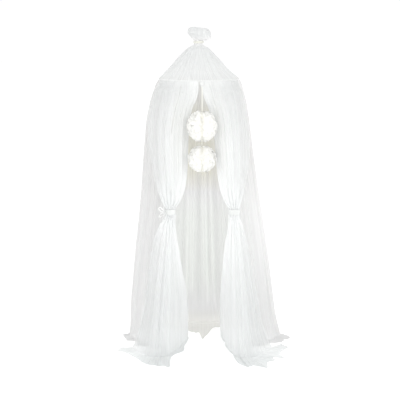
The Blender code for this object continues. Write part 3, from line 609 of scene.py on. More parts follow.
@dataclass(frozen=True)
class BobbinetTulle:
    """Polyester bobbinet tulle, knitted from fine thread and heat-set, hung in gathers.

    The thread is dull white, and the open net lets most light through: a single layer reads
    as a pale cool haze, while gathered layers turn whiter and hide what is behind them.
    """

    name: str
    thin_color: str
    dense_color: str
    mesh_pitch: float = 0.0024
    streak_width: float = 0.009
    streak_length: float = 0.90
    streak_strength: float = 0.10
    passed_on: float = 0.42
    # Painted tints of the shaded inside, multiplied into the colour by the warmth.
    warm_shade: str = "#FFFDF1"
    green_shade: str = "#FDFFFC"

    def material(self) -> bpy.types.Material:
        """Builds the net: threads that scatter light both ways, with open gaps between.

        Returns:
            The material, which reads the UV map in metres and the attributes cover, tone and
            warmth.
        """
        material, tree = new_material(self.name)
        plan = add_node(tree, "UVMap", {"uv_map": "flat_cloth"})
        cover, tone, warmth = (add_node(tree, "Attribute", {"attribute_name": word}).outputs["Fac"]
                               for word in ("cover", "tone", "warmth"))
        # Fine gathers too small to model, stretched along the cloth.
        stretched = add_node(tree, "Mapping", inputs={
            "Vector": plan.outputs["UV"],
            "Scale": (1.0 / self.streak_width, 1.0 / self.streak_length, 1.0)})
        streaks = add_node(tree, "TexNoise", {"noise_dimensions": "2D"}, {
            "Vector": stretched.outputs["Vector"], "Scale": 1.0, "Detail": 3.0,
            "Roughness": 0.55})
        streak = add_node(tree, "MapRange", inputs={
            "Value": streaks.outputs["Fac"], "From Min": 0.3, "From Max": 0.7,
            "To Min": -self.streak_strength, "To Max": self.streak_strength})
        # The six-sided meshes of the net are finer than a pixel and show only close up.
        net = add_node(tree, "TexVoronoi",
                       {"voronoi_dimensions": "2D", "feature": "DISTANCE_TO_EDGE"},
                       {"Vector": plan.outputs["UV"], "Scale": 1.0 / self.mesh_pitch,
                        "Randomness": 0.25})
        threads = add_node(tree, "MapRange", inputs={
            "Value": net.outputs["Distance"], "From Min": 0.08, "From Max": 0.22,
            "To Min": 0.12, "To Max": -0.06})
        rough = add_node(tree, "Math", {"operation": "ADD"},
                         {0: streak.outputs["Result"], 1: threads.outputs["Result"]})
        # The variation is strongest where the net is neither open nor closed.
        room = add_node(tree, "Math", {"operation": "SUBTRACT"},
                        {0: 1.15, 1: cover})
        change = add_node(tree, "Math", {"operation": "MULTIPLY"},
                          {0: rough.outputs[0], 1: room.outputs[0]})
        opacity = add_node(tree, "Math", {"operation": "ADD", "use_clamp": True},
                           {0: cover, 1: change.outputs[0]})
        # The tone mixes the thin and the dense colour: it stands for how closely the net is
        # gathered, and also carries painted light and painted shade.
        plain = add_node(tree, "Mix", {"data_type": "RGBA"}, {
            0: tone, 6: srgb(self.thin_color), 7: srgb(self.dense_color)})
        warm = add_node(tree, "Mix", {"data_type": "RGBA", "blend_type": "MULTIPLY"}, {
            0: warmth, 6: plain.outputs[2], 7: srgb(self.warm_shade)})
        green = add_node(tree, "Math", {"operation": "MULTIPLY"},
                         {0: warmth, 1: -1.0})
        color = add_node(tree, "Mix", {"data_type": "RGBA", "blend_type": "MULTIPLY"}, {
            0: green.outputs[0], 6: warm.outputs[2], 7: srgb(self.green_shade)})
        front = add_node(tree, "BsdfDiffuse", inputs={
            "Color": color.outputs[2], "Roughness": 0.6})
        through = add_node(tree, "BsdfTranslucent", inputs={
            "Color": color.outputs[2]})
        thread = add_node(tree, "MixShader", inputs={
            0: self.passed_on, 1: front.outputs[0], 2: through.outputs[0]})
        gap = add_node(tree, "BsdfTransparent")
        cloth = add_node(tree, "MixShader", inputs={
            0: opacity.outputs[0], 1: gap.outputs[0], 2: thread.outputs[0]})
        add_node(tree, "OutputMaterial", inputs={"Surface": cloth.outputs[0]})
        return material


@dataclass(frozen=True)
class RuffleTulle:
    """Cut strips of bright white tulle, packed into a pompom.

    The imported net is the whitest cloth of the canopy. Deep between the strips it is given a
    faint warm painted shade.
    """

    name: str = "ruffled_tulle"
    tip_color: str = "#FCFCFB"
    # Painted shade deep between the strips, at the petals' roots.
    root_shade_color: str = "#F1F0E9"

    def material(self) -> bpy.types.Material:
        """Builds the ruffle: white at the tips and warmer towards the roots, a painted shade, by
        its tone.
        """
        material, tree = new_material(self.name)
        depth = add_node(tree, "Attribute", {"attribute_name": "tone"})
        color = add_node(tree, "Mix", {"data_type": "RGBA"}, {
            0: depth.outputs["Fac"], 6: srgb(self.root_shade_color), 7: srgb(self.tip_color)})
        front = add_node(tree, "BsdfDiffuse", inputs={
            "Color": color.outputs[2], "Roughness": 0.5})
        through = add_node(tree, "BsdfTranslucent", inputs={
            "Color": color.outputs[2]})
        cloth = add_node(tree, "MixShader", inputs={
            0: 0.50, 1: front.outputs[0], 2: through.outputs[0]})
        add_node(tree, "OutputMaterial", inputs={"Surface": cloth.outputs[0]})
        return material


@dataclass(frozen=True)
class CottonCord:
    """Unbleached cotton cord, twisted from two strands: matte, cream, slightly fuzzy."""

    name: str = "twisted_cotton"
    light_color: str = "#F1F1EA"
    dark_color: str = "#E0E0D6"
    fibre_width: float = 0.0012

    def material(self) -> bpy.types.Material:
        """Builds the cord: fibre noise on Object coordinates, in colour and in bump."""
        material, tree = new_material(self.name)
        place = add_node(tree, "TexCoord")
        fibres = add_node(tree, "TexNoise", inputs={
            "Vector": place.outputs["Object"], "Scale": 1.0 / self.fibre_width, "Detail": 4.0,
            "Roughness": 0.6})
        color = add_node(tree, "Mix", {"data_type": "RGBA"}, {
            0: fibres.outputs["Fac"], 6: srgb(self.dark_color), 7: srgb(self.light_color)})
        bump = add_node(tree, "Bump", inputs={
            "Height": fibres.outputs["Fac"], "Strength": 0.4, "Distance": 0.0004})
        shader = add_node(tree, "BsdfPrincipled", inputs={
            "Base Color": color.outputs[2], "Roughness": 0.9, "Normal": bump.outputs["Normal"]})
        add_node(tree, "OutputMaterial", inputs={"Surface": shader.outputs[0]})
        return material


@dataclass(frozen=True)
class MouldedRing:
    """Extruded white polypropylene rod, bent to a ring: smooth, with a soft shine."""

    name: str = "white_polypropylene"
    color: str = "#F0F0EC"

    def material(self) -> bpy.types.Material:
        """Builds the plastic, with faint die lines from the extrusion in its roughness."""
        material, tree = new_material(self.name)
        place = add_node(tree, "TexCoord")
        haze = add_node(tree, "TexNoise", inputs={
            "Vector": place.outputs["Object"], "Scale": 60.0, "Detail": 2.0})
        rough = add_node(tree, "MapRange", inputs={
            "Value": haze.outputs["Fac"], "To Min": 0.34, "To Max": 0.52})
        shader = add_node(tree, "BsdfPrincipled", inputs={
            "Base Color": srgb(self.color), "IOR": 1.49, "Roughness": rough.outputs["Result"]})
        add_node(tree, "OutputMaterial", inputs={"Surface": shader.outputs[0]})
        return material


@dataclass
class Roof:
    """The cone over the hoop, the neck and the puff above it, one gathered cloth."""

    tulle: BobbinetTulle
    folds: int = 12
    gathers: float = 86.0
    columns: int = 600
    rows: int = 132
    pattern_width: float = 2.60
    casing_tone: float = 0.06
    casing_cover: float = 0.96

    def surface(self) -> Cloth:
        """Tilted ellipses one above the other, with radial folds and gathers.

        A point is the middle of its ring plus sin(angle) times half its width and minus
        cos(angle) times half its depth, both stretched by 1 + folds / half depth. Rows are
        spread half evenly along the way up the left side and half evenly over the rings.

        Returns:
            The cloth, closed round the axis.
        """
        rings = np.array(ROOF_RINGS)
        steps = np.linalg.norm(np.diff(rings[:, [0, 1]], axis=0), axis=1)
        way = np.concatenate([[0.0], np.cumsum(steps)])
        by_ring = np.interp(np.linspace(0.0, 1.0, self.rows), np.linspace(0.0, 1.0, len(way)), way)
        places = 0.5 * (by_ring + np.linspace(0.0, way[-1], self.rows))
        number = np.interp(places, way, np.arange(len(way)))[:, None]
        rows = read_columns(list(np.column_stack([way, rings])), places)
        left_x, left_z, right_x, right_z, half_depth, fold, gather = (
            rows[:, k:k + 1] for k in range(7))
        shares = (np.arange(self.columns) / self.columns)[None, :]
        creep = (fold * fold_wave(shares, self.folds, 0.9, 0.05 * number)
                 + gather * gather_wave(shares, self.gathers, 0.7, 0.25 * number))
        reach = 1.0 + creep / half_depth
        sine = np.sin(FULL_TURN * shares) * reach
        cosine = np.cos(FULL_TURN * shares) * reach
        points = np.stack([0.5 * (left_x + right_x) + sine * 0.5 * (right_x - left_x),
                           -cosine * half_depth,
                           0.5 * (left_z + right_z) + sine * 0.5 * (right_z - left_z)
                           - TOTAL_HEIGHT], axis=-1)[::-1]
        height = points[..., 2] + TOTAL_HEIGHT
        light = read_columns(ROOF_LIGHT, height.reshape(-1)).reshape(*height.shape, 2)
        casing = 1.0 - ease(height, RIM_HEIGHT + 0.006, RIM_HEIGHT + 0.012)
        tone = light[..., 0] + self.casing_tone * casing
        cover = np.maximum(closer(light[..., 1], points, True), self.casing_cover * casing)
        return Cloth(points, cover, np.clip(tone, 0.0, 1.0), self.pattern_width, True)

    def build(self) -> bpy.types.Object:
        """Makes the roof's piece, which stands for its solid."""
        piece = dressed("roof_net", [self.surface()], self.tulle.material(),
                        ["roof"])
        return piece


def floor_rows(foot: np.ndarray, run: np.ndarray, ripple: np.ndarray, count: int) -> np.ndarray:
    """Rows of a hem that lies on the floor.

    A row at share t lies t of the run outside the foot. Its height falls from the foot's to
    about a millimetre as (1 - t)^3, and ripples stand up to 7 mm high half way out.

    Args:
        foot: the cloth's last hanging row, columns x 3.
        run: how far the hem runs out in plan, columns x 2.
        ripple: how high the hem ripples, from 0 to 1, for every column.
        count: the number of rows.

    Returns:
        The rows, count x columns x 3.
    """
    shares = np.linspace(0.0, 1.0, count + 1)[1:]
    rows = np.repeat(foot[None, :, :], count, axis=0)
    rows[..., :2] += shares[:, None, None] * run[None, :, :]
    lift = HEM_LIFT + (foot[0, 2] - HEM_LIFT) * (1.0 - shares) ** 3
    swell = RIPPLE_HEIGHT * np.sin(math.pi * (0.1 + 0.8 * shares))
    rows[..., 2] = lift[:, None] + swell[:, None] * ripple[None, :]
    return rows


class HungNet(ABC):
    """A net gathered on the casing, which hangs down to a hem on the floor.

    Its stops are heights from the casing down, each with the number of rows down to the next
    one. A flipped net has its outside on the other side of the grid.
    """

    tulle: BobbinetTulle
    creases: Table
    columns: int
    flat_size: tuple[float, float]
    stops: Stops
    flipped: bool

    @abstractmethod
    def hanging(self, crease_depth: np.ndarray) -> np.ndarray:
        """How the rows hang above the floor.

        Args:
            crease_depth: the depth of the creases, rows x columns.

        Returns:
            The hanging cloth, rows x columns x 3.
        """

    @abstractmethod
    def hem(self, foot: np.ndarray) -> np.ndarray:
        """Rows of cloth on the floor, from the foot outwards.

        Args:
            foot: the last hanging row, columns x 3.

        Returns:
            The hem, rows x columns x 3.
        """

    @abstractmethod
    def light(self, points: np.ndarray, shade: np.ndarray) -> tuple[
            np.ndarray, np.ndarray, np.ndarray | float]:
        """How close, how bright and how warm the net looks.

        Args:
            points: the hanging rows and the hem, with heights above the floor.
            shade: the thinning along the creases, on the hanging rows.

        Returns:
            The cover and the tone, both rows x columns, and the warmth.
        """

    def heights(self) -> np.ndarray:
        """Heights of the hanging rows."""
        spans = [np.linspace(top, bottom, count + 1)[:-1]
                 for (top, count), (bottom, _) in zip(self.stops, self.stops[1:])]
        return np.concatenate([*spans, [self.stops[-1][0]]])

    def shares(self) -> np.ndarray:
        """Every column's share of the way across, from the first edge to the last."""
        return np.linspace(0.0, 1.0, self.columns)

    def surface(self) -> Cloth:
        """The hanging rows and the hem, with the listed creases."""
        depth, shade = crease_fields(self.creases, self.shares(), self.heights())
        hanging = self.hanging(depth)
        points = np.concatenate([hanging, self.hem(hanging[-1])])
        cover, tone, warmth = self.light(points, shade)
        points[..., 2] -= TOTAL_HEIGHT
        return Cloth(points, cover, np.clip(tone, 0.0, 1.0), self.flat_size[0],
                     flipped=self.flipped, warmth=warmth)

    def hang(self, name: str, node: str) -> bpy.types.Object:
        """Makes the net's piece, which stands for the node's solid."""
        piece = dressed(name, [self.surface()], self.tulle.material(), [node])
        return piece


@dataclass
class BackDrape(HungNet):
    """The sheet round the back and the sides, from the casing to the floor."""

    tulle: BobbinetTulle
    creases: Table
    folds: int = 13
    fine_gathers: float = 118.0
    middle_gathers: float = 43.0
    fine_depth: float = 0.0022
    middle_depth: float = 0.0068
    columns: int = 640
    flat_size: tuple[float, float] = (3.00, 2.15)
    edge_angle: float = 34.0
    hem_rows: int = 12
    foot_smoothing: int = 500
    flipped: bool = False
    stops: Stops = (
        (TOP_EDGE_HEIGHT, 25), (1.96, 85), (0.25, 17), (0.014, 0))

    def angles(self) -> np.ndarray:
        """Every column's angle from the front, in radians, round the left side and the back."""
        first = math.radians(-self.edge_angle)
        return first + self.shares() * (math.radians(self.edge_angle - 360.0) - first)

    def hanging(self, crease_depth: np.ndarray) -> np.ndarray:
        """Plan curves round the axis, with folds, gathers and creases.

        The distance from the axis is the section's, less the tuck at the front edges, plus
        the depth of folds, gathers and creases.
        """
        heights, shares, angles = self.heights(), self.shares(), self.angles()
        sections = read_columns(DRAPE_SECTIONS, heights)
        left, right, front, back, tuck, fold_depth = (sections[:, k:k + 1] for k in range(6))
        across = np.where(np.sin(angles) < 0.0, left, right)
        along = np.where(np.cos(angles) > 0.0, front, back)
        from_front = np.abs(np.degrees(np.arctan2(np.sin(angles), np.cos(angles))))
        inset = tuck * (1.0 - ease(from_front, 62.0, 96.0))
        fall = heights[:, None]
        drop = RIM_HEIGHT + 0.0024 - fall
        wave = fold_wave(shares[None, :], self.folds, 2.1, 0.5 * fall)
        fine = gather_wave(shares[None, :], self.fine_gathers, 1.9, 2.0 * drop)
        middle = gather_wave(shares[None, :], self.middle_gathers, 0.6, 0.9 * drop)
        fading = 1.0 - 0.75 * ease(drop, 0.3, 1.4)
        fine_depth = self.fine_depth * (0.25 + 0.75 * ease(drop, 0.002, 0.062)) * fading
        middle_depth = self.middle_depth * ease(drop, 0.02, 0.5)
        creep = fold_depth * wave + fine_depth * fine + middle_depth * middle + crease_depth
        radius_x = across - inset + creep
        radius_y = along - inset + creep
        return np.stack([radius_x * np.sin(angles), -radius_y * np.cos(angles),
                         np.broadcast_to(fall, radius_x.shape)], axis=-1)

    def light(self, points: np.ndarray,
              shade: np.ndarray) -> tuple[np.ndarray, np.ndarray, np.ndarray]:
        """How close, how bright and how warm the net looks.

        The part behind the doorway gets painted shade from the table, painted light that lifts it
        under the roof and at the foot, and a painted tint of the shaded inside: cream high up and
        at the floor, and greenish between them.
        """
        shares = self.shares()
        hung = len(shade)
        height = points[..., 2]
        top, half_way, foot, cover = np.moveaxis(read_columns(DRAPE_LIGHT, shares), 1, 0)
        cover = closer(np.broadcast_to(cover, height.shape), points, False)
        high = ease(height, 1.00, 1.50)
        low = 1.0 - ease(height, 0.15, 1.00)
        under_roof = ease(height, 1.70, 1.95)
        at_foot = 1.0 - ease(height, 0.02, 0.10)
        behind = ease(shares, 0.29, 0.45) * (1.0 - ease(shares, 0.55, 0.71))
        tone = (1.0 - high - low) * half_way + high * top + low * foot
        cover[:hung] *= 1.0 - 0.2 * shade
        # Painted shade along the creases, and painted light where their shade is negative.
        tone[:hung] -= 0.75 * shade
        # Painted light that lifts the shade of the back under the roof and in the fold at the
        # floor.
        tone += behind * (0.30 * under_roof + 0.35 * at_foot)
        cover[hung:] = 0.93 - 0.18 * behind
        tone[hung:] = 0.30 + 0.35 * behind
        # Painted tint of the shaded inside, cream high up and at the floor, greenish between.
        tint = 2.0 * ease(height, 0.85, 1.40) - 1.0 + 1.3 * (1.0 - ease(height, 0.0, 0.45))
        return cover, tone, behind * (tint - 0.75 * under_roof)

    def hem(self, foot: np.ndarray) -> np.ndarray:
        """Rows of cloth on the floor, from the foot outwards, rising and falling in ripples.

        They run out across the foot's curve with its folds smoothed away, so that the hem
        doesn't fold over itself.
        """
        shares = self.shares()
        smooth = foot[:, :2].copy()
        for _ in range(self.foot_smoothing):
            smooth[1:-1] = 0.25 * (smooth[:-2] + 2.0 * smooth[1:-1] + smooth[2:])
        from_front = (np.degrees(self.angles()) + 180.0) % 360.0 - 180.0
        reach = read_columns(DRAPE_HEM_REACH, from_front)
        ragged = 1.0 + 0.10 * gather_wave(shares, 34.0, 2.7, np.zeros_like(shares))
        run = -side_normals(smooth) * reach * ragged[:, None]
        ripple = 0.5 + 0.5 * gather_wave(shares, self.middle_gathers, 0.6,
                                         np.full_like(shares, 1.9))
        return floor_rows(foot, run, ripple, self.hem_rows)

    def build(self) -> bpy.types.Object:
        """Makes the drape's piece, which stands for its solid."""
        return self.hang("back_drape_net", "back_drape")


@dataclass
class FrontCurtain(HungNet):
    """A front curtain: gathered on the casing, drawn into its tie, fanned out on the floor."""

    side: Side
    tulle: BobbinetTulle
    sections: Table
    hem_table: Table
    creases: Table
    seed: float
    # Painted light on the curtain's lower part, for the side towards the key lamp.
    brighter: float = 0.0
    folds: int = 6
    fine_gathers: float = 46.0
    middle_gathers: float = 19.0
    columns: int = 460
    flat_size: tuple[float, float] = (0.62, 2.20)
    hem_rows: int = 14
    rim_start: float = 1.98
    swell: float = 0.0052
    swell_place: float = 0.0245
    swell_width: float = 0.009
    selvedge: float = 0.010
    stops: Stops = (
        (TOP_EDGE_HEIGHT, 25), (1.94, 43), (1.25, 61), (0.95, 51), (0.22, 17), (0.014, 0))

    @property
    def flipped(self) -> bool:
        """True on the left curtain, whose columns run the other way round."""
        return self.side is Side.LEFT

    def plan(self, values: np.ndarray, shares: np.ndarray, fall: np.ndarray) -> np.ndarray:
        """Parabolas in plan through the inner edge, the middle and the outer edge.

        Near the casing they are drawn out to the rim's circle.

        Args:
            values: the curtain's sections, rows x 1 x 7.
            shares: the share across the curtain of every column.
            fall: the height of every row, rows x 1.

        Returns:
            The curves, rows x columns x 2.
        """
        row = shares[None, :, None]
        base = (2.0 * (row - 0.5) * (row - 1.0) * values[..., 0:2]
                + 4.0 * row * (1.0 - row) * values[..., 2:4]
                + 2.0 * row * (row - 0.5) * values[..., 4:6])
        at_rim = np.clip((fall - self.rim_start) / (TOP_EDGE_HEIGHT - self.rim_start),
                         0.0, 1.0)[..., None]
        radius = np.linalg.norm(base, axis=2, keepdims=True)
        return base * (1.0 - at_rim + at_rim * RIM_RADIUS / radius)

    def hanging(self, crease_depth: np.ndarray) -> np.ndarray:
        """The plan curves, moved along their level normals by folds, gathers and creases.

        Near the tie the broad folds fill an oval bundle, and away from it they are uneven.
        Just over and under the tie's band they swell over its edges. Near the tie the crests
        are also plumped sideways by the product of the wave and its slope over the bundle's
        fullness, so that they touch and close the slots between them.
        """
        heights, shares = self.heights(), self.shares()
        values = read_columns(self.sections, heights)[:, None, :]
        fall = heights[:, None]
        base = self.plan(values, shares, fall)
        normals = self.side.value * side_normals(base)
        from_tie = np.maximum(np.abs(fall - TIE_HEIGHT) - TIE_HALF_HEIGHT, 0.0)
        near_tie = np.exp(-(from_tie / TIE_EASE_HEIGHT) ** 2)
        far = ease(from_tie, 0.0, 0.30)
        oval = np.sqrt(np.clip(1.0 - (2.0 * shares - 1.0) ** 2, 0.0, 1.0))
        edge_ease = np.clip(8.0 * np.minimum(shares, 1.0 - shares), 0.0, 1.0)
        uneven = fold_wave(shares[None, :], self.folds, self.seed, 0.6 * fall)
        even = np.sin(FULL_TURN * self.folds * shares)
        wave = (1.0 - near_tie) * uneven * edge_ease + near_tie * even * oval
        slope = np.gradient(wave, shares, axis=1) / (FULL_TURN * self.folds)
        span = np.linalg.norm(values[..., 4:6] - values[..., 0:2], axis=2)
        closing = 0.70 * (1.0 - ease(from_tie, 0.03, 0.22))
        fullness = np.maximum(1.0 - near_tie + near_tie * oval ** 2, 0.15)
        plump = closing * span / self.folds * wave * slope / fullness
        drop = TOP_EDGE_HEIGHT - fall
        fine = gather_wave(shares[None, :], self.fine_gathers, self.seed + 2.0, 1.6 * drop)
        middle = gather_wave(shares[None, :], self.middle_gathers, self.seed + 0.5, 0.8 * drop)
        fine_depth = 0.0004 + 0.0006 * ease(drop, 0.0, 0.05) * far
        middle_depth = 0.0022 * ease(drop, 0.01, 0.35) * (0.15 + 0.85 * far)
        from_edge = np.abs(fall - TIE_HEIGHT) - self.swell_place
        broad_depth = (values[..., 6] * (0.26 + 0.12 * far + 0.40 * near_tie ** 5)
                       + self.swell * np.exp(-(from_edge / self.swell_width) ** 2))
        creep = (broad_depth * wave + fine_depth * fine + middle_depth * middle * edge_ease
                 + crease_depth * (0.3 + 0.7 * far))
        sideways = np.stack([-normals[..., 1], normals[..., 0]], axis=-1) * self.side.value
        points = np.empty((len(heights), self.columns, 3))
        points[..., :2] = base + normals * creep[..., None] - sideways * plump[..., None]
        points[..., 2] = fall
        return points

    def light(self, points: np.ndarray,
              shade: np.ndarray) -> tuple[np.ndarray, np.ndarray, float]:
        """How close and how bright the net looks.

        It is brighter towards the inner edge, as painted light against the shade beside the
        pompoms, and thinner towards the outer one, but for the tie, and its selvedges are doubled.
        With brighter set it gets painted light below 1.55 m, fading out by 1.85 m, and its creases
        give painted shade.
        """
        shares = self.shares()
        hung = len(shade)
        height = points[..., 2].mean(axis=1)
        light = read_columns(CURTAIN_LIGHT, height)
        spread = ease(np.abs(height - TIE_HEIGHT), 0.02, 0.28)[:, None]
        thinner = ease(shares, 0.50, 1.0)[None, :] * spread
        # Painted light near the inner edge, against the shade that falls there beside the pompoms.
        inner = (1.0 - ease(shares, 0.02, 0.26))[None, :] * spread
        cover = closer(light[:, 1:2] - 0.34 * thinner + 0.08 * inner, points, False)
        # Painted light on the lower part, as much as brighter says.
        brighter = self.brighter * (1.0 - ease(points[..., 2], 1.55, 1.85))
        tone = light[:, 0:1] + brighter - 0.24 * thinner + 0.30 * inner
        cover[:hung] *= 1.0 - 0.5 * shade
        # Painted shade along the creases.
        tone[:hung] -= 0.22 * shade
        from_side = np.minimum(shares, 1.0 - shares) * self.flat_size[0]
        edge = np.exp(-(from_side / self.selvedge) ** 2)
        return cover + (0.92 - cover) * (0.6 * edge[None, :]), tone, 0.0

    def hem(self, foot: np.ndarray) -> np.ndarray:
        """Rows of cloth on the floor, from the foot out to the hem's own outline."""
        shares = self.shares()
        run = read_columns(self.hem_table, shares)
        ragged = 1.0 + 0.06 * gather_wave(shares, 17.0, self.seed + 1.1, np.zeros_like(shares))
        ripple = 0.5 + 0.5 * gather_wave(shares, self.middle_gathers, self.seed + 0.5,
                                         np.full_like(shares, 0.8 * TOP_EDGE_HEIGHT))
        return floor_rows(foot, run * ragged[:, None], ripple, self.hem_rows)

    def build(self) -> bpy.types.Object:
        """Makes the curtain's piece, which stands for its solid."""
        word = self.side.name.lower()
        return self.hang(f"{word}_curtain_net", f"{word}_front_panel")


@dataclass
class Hoop:
    """The round ring that the casing is drawn over."""

    finish: MouldedRing

    def build(self) -> bpy.types.Object:
        """A torus: a small circle of the tube's radius, carried round the hoop's circle."""
        hoop_turn = around(160)
        tube_turn = np.linspace(0.0, FULL_TURN, 13)[:, None]
        radius = HOOP_RADIUS + HOOP_TUBE_RADIUS * np.cos(tube_turn)
        level = HOOP_HEIGHT - TOTAL_HEIGHT + HOOP_TUBE_RADIUS * np.sin(tube_turn)
        points = np.stack([radius * np.cos(hoop_turn), radius * np.sin(hoop_turn),
                           level + 0.0 * hoop_turn], axis=-1)
        full = np.ones(points.shape[:2])
        ring = Cloth(points, full, full, FULL_TURN * HOOP_RADIUS, True, True)
        return dressed("hoop_ring", [ring], self.finish.material(), ["hoop"], True)


def round_band(centre: np.ndarray, half_size: tuple[float, float, float], thickness: float,
               ridges: int, twist: float) -> Cloth:
    """A soft band round an oval, as a closed tube.

    The section is a flat loop, half_height * sin(t) high and thickness * (1 + cos(t)) / 2
    thick, to a power that squares it a little. It is carried round the oval. Its outside has
    ridges, which climb by twist turns on their way round.

    Args:
        centre: the middle of the band, in the frame.
        half_size: half the oval's width and depth on the inside, and half the band's height.
        thickness: how far its outside stands off the oval.
        ridges: how many wound strands or pleats show on the outside.
        twist: how far the ridges climb, in turns.

    Returns:
        The band as a closed grid.
    """
    half_width, half_depth, half_height = half_size
    turn = around(120)
    level = np.linspace(0.0, FULL_TURN, 37)[:, None]
    rise = np.sign(np.sin(level)) * np.abs(np.sin(level)) ** 0.8
    swell = 0.5 + 0.5 * np.cos(level)
    pleats = np.abs(np.sin(0.5 * math.pi * ridges * (rise + 1.0) + twist * turn)) - 0.6
    out = thickness * (swell ** 0.45 + 0.30 * swell * pleats)
    slack = 1.0 + 0.06 * np.sin(3.0 * turn + 1.0) + 0.04 * np.sin(7.0 * turn)
    points = np.stack([centre[0] + (half_width + out) * np.sin(turn),
                       centre[1] - (half_depth + out) * np.cos(turn),
                       centre[2] + half_height * rise * slack], axis=-1)
    full = np.full(points.shape[:2], 0.985)
    tone = 0.55 + 0.45 * np.broadcast_to(swell, full.shape)
    return Cloth(points, full, tone, FULL_TURN * half_width, True)


def soft_strip(route: np.ndarray, across: tuple[float, float, float], crimp: float,
               seed: float) -> Cloth:
    """A narrow strip of doubled net along a route.

    A point lies on the route plus its place across the strip, and is pushed along the
    route's normal by crimp times a sine of its place along and across, as a pulled tie is.

    Args:
        route: points of the strip's middle line, count x 3.
        across: the unit vector across the strip.
        crimp: how deep it is crumpled.
        seed: shifts the crumples.

    Returns:
        The strip as an open grid, one row for each point of the route.
    """
    place = np.linspace(-0.5, 0.5, 9)[None, :, None]
    along = np.gradient(route, axis=0)
    along = along / np.linalg.norm(along, axis=1, keepdims=True)
    normal = np.cross(along, np.array(across)[None, :])
    step = np.arange(len(route))[:, None, None]
    wave = np.sin(0.9 * step + 5.0 * place + seed) * (0.4 + 1.2 * np.abs(place))
    points = (route[:, None, :] + np.array(across) * STRIP_WIDTH * place
              + normal[:, None, :] * crimp * wave)
    full = np.full(points.shape[:2], 0.95)
    return Cloth(points, full, np.full(full.shape, 0.8), STRIP_WIDTH)


def oval_ball(centre: np.ndarray, half_size: np.ndarray, pleat_depth: float) -> np.ndarray:
    """A closed grid over an oval ball, from pole to pole.

    Its radius in plan varies by pleat_depth, 9 times round, and the pleats wind as they fall.

    Args:
        centre: the middle of the ball, in the frame.
        half_size: half its width, depth and height.
        pleat_depth: how deep its pleats are, as a part of the radius.

    Returns:
        The points, rows x columns x 3.
    """
    level = np.linspace(0.0, math.pi, 25)[:, None]
    turn = around(48)
    radius = np.sin(level) * (1.0 + pleat_depth * np.sin(9.0 * turn + 2.0 * level)
                              * np.sin(level))
    return centre + half_size * np.stack([radius * np.sin(turn), -radius * np.cos(turn),
                                          np.cos(level) + 0.0 * turn], axis=-1)


def pleated_knot(centre: np.ndarray, half_size: tuple[float, float, float]) -> Cloth:
    """A pleated knot of net, of a half size round a centre in the frame."""
    points = oval_ball(centre, np.array(half_size), 0.10)
    full = np.full(points.shape[:2], 0.92)
    return Cloth(points, full, np.full(full.shape, 0.5), 0.06, True)


